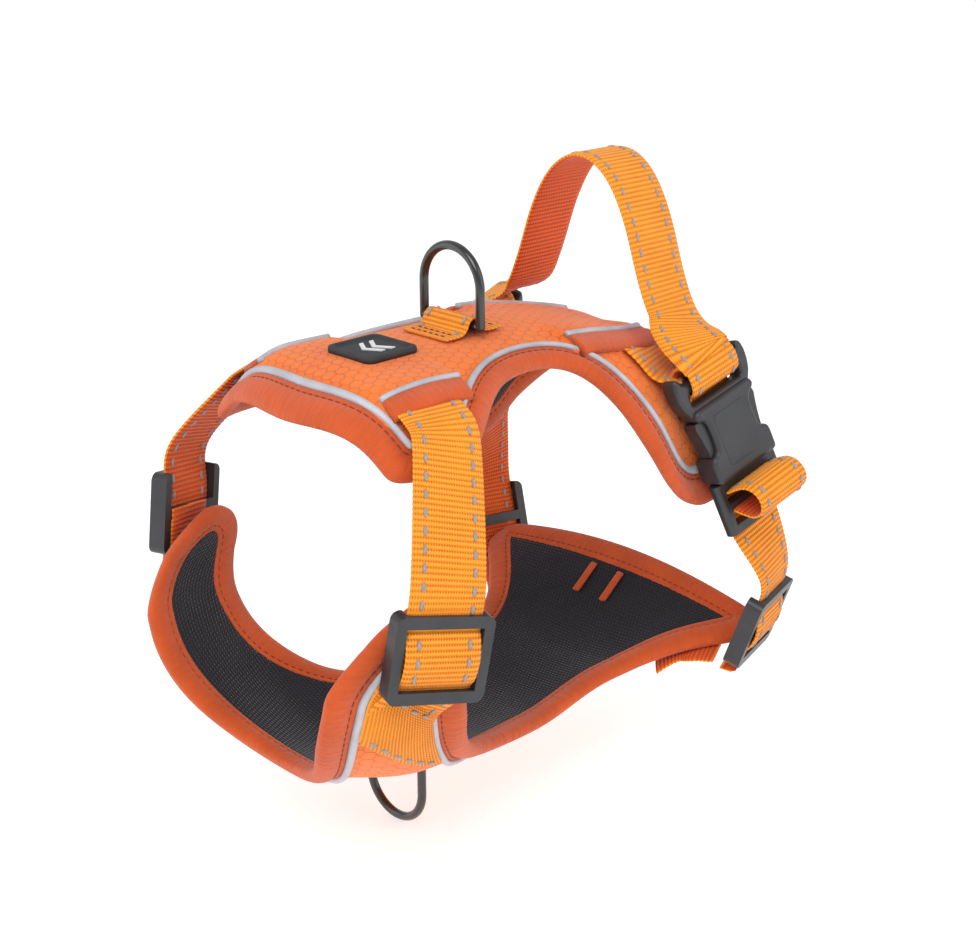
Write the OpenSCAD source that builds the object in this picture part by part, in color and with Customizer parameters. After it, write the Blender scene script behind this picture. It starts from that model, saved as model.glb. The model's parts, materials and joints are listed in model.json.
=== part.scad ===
// Small dog harness with a padded back panel, a padded chest panel, webbing straps and a lift handle.
// The head end points along -Y, the dog's left side is +X, and +Z is up.
// The origin is in the middle of the back panel's outer face, under the leash ring.

/* [Webbing] */
// Width of every webbing strap
webbing_w = 25; // [24:0.5:26]
// Thickness of one webbing layer
webbing_t = 1.5; // [1.2:0.1:1.6]

/* [Back panel] */
// Length of the back panel along the spine
back_l = 180; // [176:1:184]
// Half width of the dog's back under the front lobes
back_front_a = 57; // [56:0.5:58]
// Half width of the dog's back under the rear wings
back_rear_a = 65; // [64:0.5:66]
// Width of the sewn edge binding
binding_w = 9; // [8:0.5:10]
// Thickness of the mesh lining with its foam
lining_t = 2.4; // [2:0.1:3]
// Thickness of the outer fabric
shell_t = 1.4; // [1:0.1:1.6]

/* [Chest panel] */
// Length of the chest panel from the neck edge to the rear edge
chest_l = 180; // [176:1:184]
// Half width of the chest at the arms' rear edges
chest_a = 61; // [60:0.5:62]
// Height of the chest's lowest point
chest_z = -145; // [-148:0.5:-143]

/* [Rings] */
// Wire diameter of both rings
ring_wire = 3.3; // [3:0.1:3.4]
// Outer width of both rings
ring_w = 31; // [30:0.5:32]
// Height of both rings over the bar's axis
ring_h = 28; // [27:0.5:30]

/* [Buckles] */
// Length of the closed socket shell
socket_l = 28; // [28:0.5:29]
// Outer width of the socket shell
socket_w = 31; // [31:0.1:32]
// Outer thickness of the socket shell
socket_t = 11; // [10.5:0.1:12]
// Travel that frees the plug from the socket
release_travel = 27; // [26:0.5:28]

/* [Adjusters] */
// Outer width of the strap adjusters
adjuster_w = 33; // [32.5:0.5:34]
// Length of the strap adjusters along the strap
adjuster_l = 29; // [28:0.5:30]

/* [Handle] */
// Height of the handle's top over the origin
handle_top = 53; // [50:1:58]

/* [Hidden] */
$fn = 32;

orange = "#f0923c";
bright_orange = "#f5a032";
dark_orange = "#cd5028";
mesh_black = "#28282d";
piping_grey = "#b4b4b9";
plastic_black = "#3c3c41";

// Gap between soft layers that lie on each other
layer_gap = 0.25;
panel_t = lining_t + layer_gap + shell_t;
binding_over = 0.4;
top_of_binding = panel_t + binding_over;
piping_r = 1;

// ---- Helpers ----

function mix(a, b, t) = a + (b - a) * t;
function clamp01(t) = min(1, max(0, t));
function smooth(t) = clamp01(t) * clamp01(t) * (3 - 2 * clamp01(t));
function unit(v) = v / norm(v);

// Catmull-Rom curve through the points, with t from 0 to 1 over the whole list
function curve(pts, t) =
    let (last = len(pts) - 1,
         i = min(last - 1, floor(t * last)),
         f = t * last - i,
         a = pts[max(0, i - 1)], b = pts[i], c = pts[i + 1], d = pts[min(last, i + 2)])
    0.5 * (2 * b + (c - a) * f + (2 * a - 5 * b + 4 * c - d) * f * f + (3 * b - a - 3 * c + d) * f * f * f);

// Solid between two grids of points that have the same rows and columns
module slab(top, bottom) {
    rows = len(top);
    cols = len(top[0]);
    points = [for (grid = [top, bottom]) for (row = grid) for (p = row) p];
    border = concat(
        [for (c = [0 : cols - 2]) c],
        [for (r = [0 : rows - 2]) r * cols + cols - 1],
        [for (c = [cols - 1 : -1 : 1]) (rows - 1) * cols + c],
        [for (r = [rows - 1 : -1 : 1]) r * cols]);
    n = rows * cols;
    faces = concat(
        [for (r = [0 : rows - 2]) for (c = [0 : cols - 2])
            let (i = r * cols + c) each [[i, i + 1, i + cols + 1], [i, i + cols + 1, i + cols]]],
        [for (r = [0 : rows - 2]) for (c = [0 : cols - 2])
            let (i = n + r * cols + c) each [[i + 1, i, i + cols + 1], [i + cols + 1, i, i + cols]]],
        [for (k = [0 : len(border) - 1])
            let (i = border[k], j = border[(k + 1) % len(border)]) each [[j, i, n + i], [j, n + i, n + j]]]);
    polyhedron(points, faces);
}

// Closed loop whose cross-sections are the given rings of points
module closed_loop(rings) {
    sides = len(rings[0]);
    count = len(rings);
    points = [for (ring = rings) for (p = ring) p];
    faces = [for (k = [0 : count - 1]) for (s = [0 : sides - 1])
        let (k2 = (k + 1) % count, s2 = (s + 1) % sides,
             a = k * sides + s, b = k * sides + s2, c = k2 * sides + s2, d = k2 * sides + s)
        each [[a, b, c], [a, c, d]]];
    polyhedron(points, faces);
}

// Flat strap along a path of [centre, width direction, outward direction]
module strap(path, width = webbing_w, thick = webbing_t) {
    function edge(k, side, height) =
        path[k][0] + path[k][1] * side * width / 2 + path[k][2] * height * thick / 2;
    slab([for (k = [0 : len(path) - 1]) [edge(k, -1, 1), edge(k, 1, 1)]],
         [for (k = [0 : len(path) - 1]) [edge(k, -1, -1), edge(k, 1, -1)]]);
}

// Left pieces as drawn, right pieces mirrored
module sided(side) {
    if (side > 0)
        children();
    else
        mirror([1, 0, 0]) children();
}

// ---- Back panel skin ----
// s is the distance from the spine across the back, w the distance from the front edge, h the height

back_scale = 66;
back_front_y = -75;

function back_a(y) = mix(back_front_a, back_rear_a, clamp01((y + 60) / 150));
function back_b(y) = mix(59, 92, clamp01((y + 60) / 150));
function back_crest(y) = y < -45 ? -0.0135 * pow(y + 45, 2) : y > 20 ? -26 * pow((y - 20) / 90, 2) : 0;
function back_y(s, w) = w + back_front_y + 6 * smooth(abs(s) / 60) * (1 - smooth(w / 40));

// The buckle presses a hollow into the soft wing under it
hollow_depth = 6;
hollow_r = 27;
hollow_s = 76;
hollow_y = 67;
function back_hollow(s, y) = hollow_depth * smooth(1 - norm([abs(s) - hollow_s, y - hollow_y]) / hollow_r);

function back_on(s, y, h) =
    let (t = s / back_scale * 180 / PI,
         a = back_a(y), b = back_b(y),
         n = unit([sin(t) / a, 0, cos(t) / b]))
    [a * sin(t), y, back_crest(y) + b * (cos(t) - 1) - panel_t * (1 - smooth(abs(s) / 42))]
        + n * (h - back_hollow(s, y));

function back_point(s, w, h) = back_on(s, back_y(s, w), h);

// Half outline of the back panel from its front corner to its rear corner, as [w, s]
back_side = [
    [0, 56], [7, 62], [18, 65.5], [30, 65.5], [38, 61], [47, 53], [57, 44], [68, 37.5], [82, 35], [94, 37],
    [103, 44], [110, 55], [116, 68], [124, 78], [134, 82.5], [146, 82], [157, 75], [166, 64], [174, 50],
    [back_l, 36]];

// ---- Chest panel skin ----
// s is the distance from the breastbone line across the chest, w the distance from the neck edge

chest_scale = 59;
chest_front_y = -82;
chest_drop = 60;
chest_quarter = chest_scale * PI / 2;

function chest_y(s, w) =
    w + mix(chest_front_y - 18 * smooth(abs(s) / 70) + 24 * smooth((abs(s) - 75) / 35), chest_front_y,
            smooth(w / 80));
function chest_bottom(y) =
    chest_z + 11 * smooth((-45 - y) / 45) + 8 * smooth((y - 10) / 50) + 31 * smooth((y - 50) / 60);
function chest_half(y) = mix(chest_a - 14, chest_a, clamp01((y + 98) / 46));
function chest_curl(y) = 1 - 0.65 * smooth((y + 50) / 60) - 0.6 * smooth((y - 50) / 50);

function chest_on(s, y, h) =
    let (curl = chest_curl(y),
         over = max(0, abs(s) - chest_quarter),
         t = (abs(s) - over) / chest_scale * 180 / PI,
         x = mix(abs(s), chest_half(y) * sin(t) - 0.16 * over, clamp01(curl)),
         z = chest_bottom(y) + curl * chest_drop * (1 - cos(t)) + over,
         n = unit([mix(0, sin(t), clamp01(curl)), 0, -cos(t) - 0.12]))
    [sign(s) * (x + n[0] * h), y, z + n[2] * h];

function chest_point(s, w, h) = chest_on(s, chest_y(s, w), h);

// Half outline of the chest panel from the front corner of its arm to its rear corner, as [w, s]
chest_side = [
    [0, 98], [5, 107], [13, 111], [21, 110], [28, 104], [34, 93], [38, 78], [42, 63], [49, 50], [60, 40],
    [78, 35.5], [100, 34], [122, 35], [139, 41], [152, 52], [161, 61.5], [170, 68], [chest_l, 64]];

// ---- Panels built from a skin and a half outline ----

// Point of the half outline pushed inwards by a margin
function inset(side, t, margin) =
    let (step = 0.004,
         p = curve(side, t),
         d = unit(curve(side, min(1, t + step)) - curve(side, max(0, t - step))))
    p + margin * [-d[1], d[0]] * -1;

// Smallest step along the panel from one row of points to the next
row_gap = 0.3;

function half_line(side, rows, margin) =
    let (w0 = side[0][0] + margin, w1 = side[len(side) - 1][0] - margin)
    [for (r = [0 : rows])
        let (p = inset(side, r / rows, margin))
        [min(w1 - row_gap * (rows - r), max(w0 + row_gap * r, p[0])), p[1]]];

function panel_grid(skin, side, rows, cols, margin, h) =
    [for (p = half_line(side, rows, margin))
        [for (c = [-cols : cols]) skin(p[1] * c / cols, p[0], h)]];

// Points round the panel's whole edge, at the same places as the grid's border
function panel_ring(skin, side, rows, cols, margin, h) =
    let (line = half_line(side, rows, margin), first = line[0], last = line[rows])
    concat(
        [for (c = [-cols : cols - 1]) skin(first[1] * c / cols, first[0], h)],
        [for (r = [0 : rows - 1]) skin(line[r][1], line[r][0], h)],
        [for (c = [cols : -1 : 1 - cols]) skin(last[1] * c / cols, last[0], h)],
        [for (r = [rows : -1 : 1]) skin(-line[r][1], line[r][0], h)]);

module panel_layer(skin, side, rows, cols, low, high) {
    slab(panel_grid(skin, side, rows, cols, binding_w + 0.3, high),
         panel_grid(skin, side, rows, cols, binding_w + 0.3, low));
}

module panel_binding(skin, side, rows, cols) {
    inner_low = panel_ring(skin, side, rows, cols, binding_w, -binding_over);
    inner_high = panel_ring(skin, side, rows, cols, binding_w, top_of_binding);
    outer_low = panel_ring(skin, side, rows, cols, 0, 0.6);
    outer_high = panel_ring(skin, side, rows, cols, 0, top_of_binding - 1);
    closed_loop([for (k = [0 : len(inner_low) - 1])
        [inner_low[k], outer_low[k], outer_high[k], inner_high[k]]]);
}

module panel_piping(skin, side, rows, cols) {
    middle = binding_w + piping_r;
    base = panel_t + 0.35;
    near = panel_ring(skin, side, rows, cols, middle - piping_r, top_of_binding + 0.2);
    far = panel_ring(skin, side, rows, cols, middle + piping_r, base);
    top = panel_ring(skin, side, rows, cols, middle, base + 2 * piping_r);
    closed_loop([for (k = [0 : len(near) - 1]) [near[k], top[k], far[k]]]);
}

back_rows = 26;
back_cols = 6;
chest_rows = 26;
chest_cols = 9;

module back_shell() {
    color(orange)
        panel_layer(function (s, w, h) back_point(s, w, h), back_side, back_rows, back_cols,
                    lining_t + layer_gap, panel_t);
}

module back_lining() {
    color(mesh_black)
        panel_layer(function (s, w, h) back_point(s, w, h), back_side, back_rows, back_cols, 0, lining_t);
}

module back_binding() {
    color(dark_orange)
        panel_binding(function (s, w, h) back_point(s, w, h), back_side, back_rows, back_cols);
}

module back_piping() {
    color(piping_grey)
        panel_piping(function (s, w, h) back_point(s, w, h), back_side, back_rows, back_cols);
}

module chest_shell() {
    color(orange)
        panel_layer(function (s, w, h) chest_point(s, w, h), chest_side, chest_rows, chest_cols,
                    lining_t + layer_gap, panel_t);
}

module chest_lining() {
    color(mesh_black)
        panel_layer(function (s, w, h) chest_point(s, w, h), chest_side, chest_rows, chest_cols, 0, lining_t);
}

module chest_binding() {
    color(dark_orange)
        panel_binding(function (s, w, h) chest_point(s, w, h), chest_side, chest_rows, chest_cols);
}

module chest_piping() {
    color(piping_grey)
        panel_piping(function (s, w, h) chest_point(s, w, h), chest_side, chest_rows, chest_cols);
}

// Height of a strap's centre over the shell where it crosses the piping
over_piping = 3.6;

// ---- Places of the hardware ----
// Each place is a position and the angles about X, Y and Z. In the local frame +X points away from
// the dog, +Y towards the tail and +Z up along the strap.

buckle_place = [[66, 81, -54], [16, -16, -8]];
girth_adjuster_place = [[71, 90, -116], [0, 18, 15]];
neck_adjuster_place = [[66, -70.5, -77], [-10, 0, -20]];
// The right neck adjuster rests further up its strap
neck_adjuster_raise = 12;

function turn_x(p, a) = [p[0], p[1] * cos(a) - p[2] * sin(a), p[1] * sin(a) + p[2] * cos(a)];
function turn_y(p, a) = [p[0] * cos(a) + p[2] * sin(a), p[1], p[2] * cos(a) - p[0] * sin(a)];
function turn_z(p, a) = [p[0] * cos(a) - p[1] * sin(a), p[0] * sin(a) + p[1] * cos(a), p[2]];
function turned(p, angles) = turn_z(turn_y(turn_x(p, angles[0]), angles[1]), angles[2]);
function placed(p, place) = place[0] + turned(p, place[1]);

module at(place) {
    translate(place[0]) rotate(place[1]) children();
}

// Path point of a strap that follows a place's local frame
function strap_at(p, place) = [placed(p, place), turned([0, 1, 0], place[1]), turned([1, 0, 0], place[1])];

// Path point of a strap given by its centre, with width and outward directions made square to each other
function strap_point(p, across, out) =
    let (w = unit(across)) [p, w, unit(out - w * (out * w))];

// Path points of a strap lying on a panel at height h
function on_back(s, y, h) =
    strap_point(back_on(s, y, h), back_on(s, y + 1, h) - back_on(s, y - 1, h),
                back_on(s, y, h + 1) - back_on(s, y, h));
function on_chest(s, y, h) =
    strap_point(chest_on(s, y, h), chest_on(s, y + 1, h) - chest_on(s, y - 1, h),
                chest_on(s, y, h + 1) - chest_on(s, y, h));

// ---- Rings ----

// Radial play of a ring's bar in its keeper
ring_play = 0.08;
keeper_w = 22;
keeper_l = 28;
keeper_t = 1.2;
ring_bar_z = 3.1;
ring_half = (ring_w - ring_wire) / 2;
ring_leg = ring_h - ring_half - ring_wire / 2;

// D-shaped ring round the X axis, standing up
module d_ring() {
    rotate([0, 90, 0]) cylinder(d = ring_wire, h = 2 * ring_half, center = true);
    for (side = [-1, 1])
        translate([side * ring_half, 0, 0]) {
            sphere(d = ring_wire);
            cylinder(d = ring_wire, h = ring_leg);
        }
    translate([0, 0, ring_leg]) rotate([90, 0, 0])
        rotate_extrude(angle = 180) translate([ring_half, 0]) circle(d = ring_wire);
}

// Webbing keeper with a round tunnel for the ring's bar, standing on z = 0
module ring_keeper() {
    rotate([90, 0, 90]) linear_extrude(keeper_w, center = true)
        difference() {
            union() {
                translate([-keeper_l / 2, 0]) square([keeper_l, keeper_t]);
                translate([0, ring_bar_z]) circle(r = ring_bar_z);
            }
            translate([0, ring_bar_z]) circle(r = ring_wire / 2 + ring_play);
        }
}

back_keeper_z = layer_gap;
chest_keeper_z = chest_z - panel_t - layer_gap - 0.1;
chest_ring_y = -30;

module back_ring_keeper() {
    color(bright_orange) translate([0, 0, back_keeper_z]) ring_keeper();
}

module back_ring() {
    color(plastic_black) translate([0, 0, back_keeper_z + ring_bar_z]) d_ring();
}

module chest_ring_keeper() {
    color(bright_orange) translate([0, chest_ring_y, chest_keeper_z]) mirror([0, 0, 1]) ring_keeper();
}

module chest_ring() {
    color(plastic_black)
        translate([0, chest_ring_y, chest_keeper_z - ring_bar_z]) mirror([0, 0, 1]) d_ring();
}

// ---- Patch and trim on the panels ----

patch_w = 22;
patch_t = 2;
patch_r = 3;
patch_y = -39;

// Rectangle in the XY plane with round corners, centred
module round_rect(w, l, r) {
    square([w - 2 * r, l], center = true);
    square([w, l - 2 * r], center = true);
    for (x = [-1, 1]) for (y = [-1, 1])
        translate([x * (w / 2 - r), y * (l / 2 - r)]) circle(r = r);
}

module rubber_patch() {
    color(plastic_black)
        translate([0, patch_y, layer_gap])
            linear_extrude(patch_t) round_rect(patch_w, patch_w, patch_r);
}

// Bound edges of the raised centre cover, where the straps come out from under it
pocket_t = 1.8;
pocket_w = 8;
pocket_steps = 8;

module pocket_edge(s, y0, y1, bow) {
    function line(ds, h) = [for (k = [0 : pocket_steps])
        let (t = k / pocket_steps, y = mix(y0, y1, t)) back_on(s + ds - bow * sin(180 * t), y, h)];
    function grid(h) = [line(0, h), line(pocket_w / 2, h), line(pocket_w, h)];
    base = panel_t + layer_gap;
    slab(grid(base + pocket_t), grid(base));
}

module pocket_edge_front(side) {
    color(dark_orange) sided(side) pocket_edge(34, -60, -32, 0);
}

module pocket_edge_rear(side) {
    color(dark_orange) sided(side) pocket_edge(26, 42, 84, 2);
}

// ---- Handle ----

handle_y = 76;
// Half of the handle's arch from its middle to its foot, as [x, z]
handle_arch = [
    [0, handle_top], [7, handle_top - 1.5], [14.5, 45.5], [20, 37], [24.5, 27], [28.5, 15], [34, 3],
    [40, -4.5], [46, -9]];
handle_steps = 16;

function handle_point(t) =
    let (p = curve(handle_arch, abs(t)), d = curve(handle_arch, min(1, abs(t) + 0.02)) - curve(handle_arch,
         max(0, abs(t) - 0.02)), side = t < 0 ? -1 : 1)
    strap_point([side * p[0], handle_y, p[1]], [0, 1, 0], t == 0 ? [0, 0, 1] : [-side * d[1], 0, d[0]]);

module handle_webbing() {
    color(bright_orange)
        strap([for (k = [-handle_steps : handle_steps]) handle_point(k / handle_steps)]);
}

// ---- Side-release buckles ----
// Local frame with its origin in the middle of the socket's mouth

cavity_w = 28;
cavity_t = 6.8;
bridge_l = 10;
window_l = 15;
ear_w = 36;
ear_l = 13;
ear_t = 6;
bar_slot_l = 5;
bar_slot_w = 26.4;
socket_full = socket_l + ear_l - 1;

module buckle_socket(side) {
    color(plastic_black) sided(side) at(buckle_place)
        difference() {
            union() {
                linear_extrude(socket_l) round_rect(socket_t, socket_w, 3);
                translate([0, 0, socket_l - 3]) linear_extrude(ear_l + 2) round_rect(ear_t, ear_w, 2.5);
            }
            translate([-cavity_t / 2, -cavity_w / 2, -1]) cube([cavity_t, cavity_w, socket_l - 2]);
            translate([-cavity_t / 2, -ear_w, bridge_l]) cube([cavity_t, 2 * ear_w, window_l]);
            translate([-socket_t, -bar_slot_w / 2, socket_l + 2.5])
                cube([2 * socket_t, bar_slot_w, bar_slot_l]);
        }
}

plug_gap = 0.3;
plug_l = 20;
plug_w = 33;
plug_t = 5;
plug_rail = 3.3;
plug_bar = 3;
guide_w = 4;
guide_l = release_travel - 5;
prong_y = 10.5;
prong_z = 1.7;
prong_r = 1.4;
prong_t = 6;
prong_end = release_travel - 2.6;
// Radians that a prong turns inwards for each millimetre the plug comes out
prong_rate = 0.008;

module buckle_plug(side) {
    slot_l = (plug_l - plug_gap - 3 * plug_bar) / 2;
    color(plastic_black) sided(side) at(buckle_place) {
        difference() {
            translate([0, 0, -plug_l]) linear_extrude(plug_l - plug_gap) round_rect(plug_t, plug_w, 2);
            for (k = [0, 1])
                translate([-plug_t, -plug_w / 2 + plug_rail, -plug_l + plug_bar + k * (slot_l + plug_bar)])
                    cube([2 * plug_t, plug_w - 2 * plug_rail, slot_l]);
        }
        translate([-guide_w / 2, -guide_w / 2, -plug_gap - 0.5]) cube([guide_w, guide_w, guide_l]);
    }
}

// Outer edge of a prong's tab at distance z from the mouth: it follows the window's lower rim
function tab_edge(z) = cavity_w / 2 - 0.3 + prong_rate * (z - bridge_l) * (z - prong_z);

// Prong that bends inwards round its root as the plug is pulled, on the tail side of the plug
module prong() {
    rotate([90, 0, 90]) linear_extrude(prong_t, center = true) {
        translate([prong_y, prong_z]) circle(r = prong_r);
        polygon(concat(
            [[prong_y - prong_r, prong_z], [prong_y + prong_r, prong_z], [12.6, bridge_l - 1.5]],
            [for (z = [bridge_l + 0.5 : 2 : prong_end]) [tab_edge(z), z]],
            [[tab_edge(prong_end) - 1, prong_end], [11, prong_end], [9.6, bridge_l + 2]]));
    }
}

module prong_rear(side) {
    color(plastic_black) sided(side) at(buckle_place) prong();
}

module prong_front(side) {
    color(plastic_black) sided(side) at(buckle_place) mirror([0, 1, 0]) prong();
}

// Fold of the handle's webbing round the bar of the socket
fold_w = 24;
fold_r = 5.5;

module handle_fold(side) {
    color(bright_orange) sided(side) at(buckle_place)
        translate([0, 0, socket_full - 2.3]) rotate([90, 0, 0])
            difference() {
                cylinder(r = fold_r, h = fold_w, center = true);
                cylinder(r = fold_r - webbing_t, h = fold_w + 1, center = true);
                translate([-fold_r, -2 * fold_r, -fold_w]) cube([2 * fold_r, 2 * fold_r - 1, 2 * fold_w]);
            }
}

// Webbing that comes out from under the centre cover and leads to the bar of the socket
module wing_webbing(side) {
    color(bright_orange) sided(side)
        strap([for (s = [34.5 : 4 : 50.5]) on_back(s, 63 + 0.25 * (s - 34.5), panel_t + 1.3)]);
}

// ---- Girth straps ----

strap_play = 0.4;
strap_in = plug_t / 2 + 0.4 + webbing_t / 2;
adjuster_reach = 21;

module girth_strap(side) {
    color(bright_orange) sided(side)
        strap([strap_at([-strap_in, 0, -4], buckle_place), strap_at([-strap_in, 0, -plug_l], buckle_place),
               strap_at([0, 0, adjuster_reach], girth_adjuster_place),
               strap_at([0, 0, -adjuster_reach], girth_adjuster_place)]);
}

// Loose fold of webbing that stands out from the plug's upper slot
loop_out = 20;
loop_r = 4;

module girth_loop(side) {
    color(bright_orange) sided(side) at(buckle_place)
        translate([plug_t / 2 + 0.4, 0, -8]) rotate([90, 0, 0])
            linear_extrude(webbing_w, center = true)
                difference() {
                    union() {
                        translate([0, -loop_r]) square([loop_out - loop_r, 2 * loop_r]);
                        translate([loop_out - loop_r, 0]) circle(r = loop_r);
                    }
                    translate([-1, -loop_r + webbing_t])
                        square([loop_out - loop_r + 1, 2 * (loop_r - webbing_t)]);
                    translate([loop_out - loop_r, 0]) circle(r = loop_r - webbing_t);
                }
}

// Free end of the girth webbing under the chest panel's rear lobe
module girth_tail(side) {
    color(bright_orange) sided(side)
        strap([on_chest(56, 84, panel_t + over_piping), on_chest(46, 80, panel_t + 4.6),
               on_chest(34, 72, panel_t + 9)]);
}

// ---- Strap adjusters ----
// Three-bar frame: the webbing passes behind the two end bars and over the middle bar

adjuster_bar = 4;
adjuster_out = 3.6;
adjuster_in = 2.8;
strap_room = webbing_t / 2 + strap_play;
strap_slot = 26;

module adjuster() {
    difference() {
        rotate([90, 0, 90])
            translate([0, 0, -adjuster_in]) linear_extrude(adjuster_in + adjuster_out)
                round_rect(adjuster_w, adjuster_l, 3);
        translate([-10, -strap_slot / 2, -adjuster_l / 2 + adjuster_bar])
            cube([10 + strap_room, strap_slot, adjuster_l - 2 * adjuster_bar]);
        translate([-strap_room, -strap_slot / 2, -adjuster_l / 2 + adjuster_bar])
            cube([20, strap_slot, adjuster_l - 2 * adjuster_bar]);
        translate([-10, -strap_slot / 2, -adjuster_l])
            cube([10 + strap_room, strap_slot, 2 * adjuster_l]);
    }
    translate([-adjuster_in, -adjuster_w / 2 + 1, -adjuster_bar / 2])
        cube([adjuster_in - strap_room, adjuster_w - 2, adjuster_bar]);
}

module girth_adjuster(side) {
    color(plastic_black) sided(side) at(girth_adjuster_place) adjuster();
}

module neck_adjuster(side) {
    color(plastic_black) sided(side) at(neck_adjuster_place)
        translate([0, 0, side > 0 ? 0 : neck_adjuster_raise]) adjuster();
}

// ---- Neck straps ----

// Distance below the adjuster's middle bar where the strap turns in to the chest panel
adjuster_bend = 9;

module neck_strap(side) {
    color(bright_orange) sided(side)
        strap([on_back(42.7, -47.2, panel_t + 2.2), on_back(48, -47.6, panel_t + over_piping),
               on_back(55, -49, panel_t + over_piping),
               on_back(63, -52, panel_t + over_piping),
               strap_at([0, 0, adjuster_reach + (side > 0 ? 0 : neck_adjuster_raise)], neck_adjuster_place),
               strap_at([0, 0, -adjuster_bend], neck_adjuster_place),
               on_chest(78.5, -71.5, panel_t + over_piping)]);
}

// Second webbing layer that holds the adjuster's middle bar to the chest panel's arm
module neck_anchor(side) {
    color(bright_orange) sided(side)
        strap([on_chest(78, -76.5, panel_t + 1.4), on_chest(70, -77, panel_t + 1.4),
               on_chest(60, -77, panel_t + 1.4), on_chest(52, -77.5, panel_t + 1.4)], width = 16);
}

// Band of webbing across the chest panel's arm
band_s = [50, 76];
band_front_w = 3;
band_rear_w = [45, 36];
band_steps = 8;

module chest_band(side) {
    function height(t) = panel_t + 1 + 3 * pow(sin(180 * t), 0.5);
    function across(t, f) = mix(band_front_w, mix(band_rear_w[0], band_rear_w[1], f), t);
    function row(t, extra) = [for (f = [0 : 0.25 : 1])
        chest_point(mix(band_s[0], band_s[1], f), across(t, f), height(t) + extra)];
    function grid(extra) = [for (k = [0 : band_steps]) row(k / band_steps, extra)];
    color(bright_orange) sided(side) slab(grid(webbing_t), grid(0));
}

// Bound slots in the chest panel's lining, side by side near its rear edge
slot_bar_w = 3;
slot_bar_y = [74, 88];
slot_bar_x = [-9, 5];

module lining_slots() {
    function grid(x, h) = [for (y = slot_bar_y)
        [for (edge = [-1, 1]) chest_on(x + edge * slot_bar_w / 2, y, h)]];
    color(dark_orange)
        for (x = slot_bar_x)
            slab(grid(x, -0.4), grid(x, -1.2));
}

back_shell();
back_lining();
back_binding();
back_piping();
rubber_patch();
back_ring_keeper();
back_ring();
handle_webbing();
handle_fold(1);  // handle_fold_left
handle_fold(-1);  // handle_fold_right
wing_webbing(1);  // wing_webbing_left
wing_webbing(-1);  // wing_webbing_right
pocket_edge_front(1);  // pocket_edge_front_left
pocket_edge_front(-1);  // pocket_edge_front_right
pocket_edge_rear(1);  // pocket_edge_rear_left
pocket_edge_rear(-1);  // pocket_edge_rear_right
buckle_socket(1);  // buckle_socket_left
buckle_socket(-1);  // buckle_socket_right
buckle_plug(1);  // buckle_plug_left
buckle_plug(-1);  // buckle_plug_right
prong_front(1);  // prong_front_left
prong_front(-1);  // prong_front_right
prong_rear(1);  // prong_rear_left
prong_rear(-1);  // prong_rear_right
girth_strap(1);  // girth_strap_left
girth_strap(-1);  // girth_strap_right
girth_loop(1);  // girth_loop_left
girth_loop(-1);  // girth_loop_right
girth_adjuster(1);  // girth_adjuster_left
girth_adjuster(-1);  // girth_adjuster_right
girth_tail(1);  // girth_tail_left
girth_tail(-1);  // girth_tail_right
chest_shell();
chest_lining();
chest_binding();
chest_piping();
chest_ring_keeper();
chest_ring();
lining_slots();
chest_band(1);  // chest_band_left
chest_band(-1);  // chest_band_right
neck_strap(1);  // neck_strap_left
neck_strap(-1);  // neck_strap_right
neck_adjuster(1);  // neck_adjuster_left
neck_adjuster(-1);  // neck_adjuster_right
neck_anchor(1);  // neck_anchor_left
neck_anchor(-1);  // neck_anchor_right
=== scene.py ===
"""Looks of a small no-pull dog harness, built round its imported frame.

Sizes are in millimetres until a mesh is made.
"""

import json
import math

import bmesh
import bpy
import numpy as np
from mathutils import Matrix, Vector, geometry

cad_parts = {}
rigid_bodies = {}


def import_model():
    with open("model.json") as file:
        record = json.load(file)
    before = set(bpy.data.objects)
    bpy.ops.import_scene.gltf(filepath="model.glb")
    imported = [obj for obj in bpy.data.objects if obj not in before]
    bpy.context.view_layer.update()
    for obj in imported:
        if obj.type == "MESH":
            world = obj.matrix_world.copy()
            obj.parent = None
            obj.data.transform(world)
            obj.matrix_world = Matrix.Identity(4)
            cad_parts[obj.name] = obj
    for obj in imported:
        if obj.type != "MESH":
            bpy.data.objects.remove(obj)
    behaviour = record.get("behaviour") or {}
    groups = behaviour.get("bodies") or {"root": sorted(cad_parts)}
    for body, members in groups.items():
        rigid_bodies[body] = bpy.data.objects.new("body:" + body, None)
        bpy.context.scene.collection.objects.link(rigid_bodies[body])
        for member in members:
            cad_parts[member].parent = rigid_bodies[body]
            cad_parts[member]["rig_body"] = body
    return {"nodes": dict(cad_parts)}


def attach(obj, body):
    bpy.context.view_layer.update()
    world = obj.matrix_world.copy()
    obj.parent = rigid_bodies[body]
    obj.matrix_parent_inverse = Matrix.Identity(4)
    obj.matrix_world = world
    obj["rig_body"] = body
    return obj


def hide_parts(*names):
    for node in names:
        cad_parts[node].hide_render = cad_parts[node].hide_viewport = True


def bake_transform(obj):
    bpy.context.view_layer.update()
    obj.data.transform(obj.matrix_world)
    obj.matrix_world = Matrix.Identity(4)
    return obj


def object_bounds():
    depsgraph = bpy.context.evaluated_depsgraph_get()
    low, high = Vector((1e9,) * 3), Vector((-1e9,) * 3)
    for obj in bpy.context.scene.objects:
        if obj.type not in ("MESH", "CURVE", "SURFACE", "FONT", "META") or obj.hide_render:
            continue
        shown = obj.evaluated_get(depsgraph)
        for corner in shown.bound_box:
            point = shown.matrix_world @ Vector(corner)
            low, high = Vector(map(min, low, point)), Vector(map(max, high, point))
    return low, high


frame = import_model()
cad_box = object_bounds()

MM = 0.001
SIDES = (("left", 1), ("right", -1))

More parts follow.
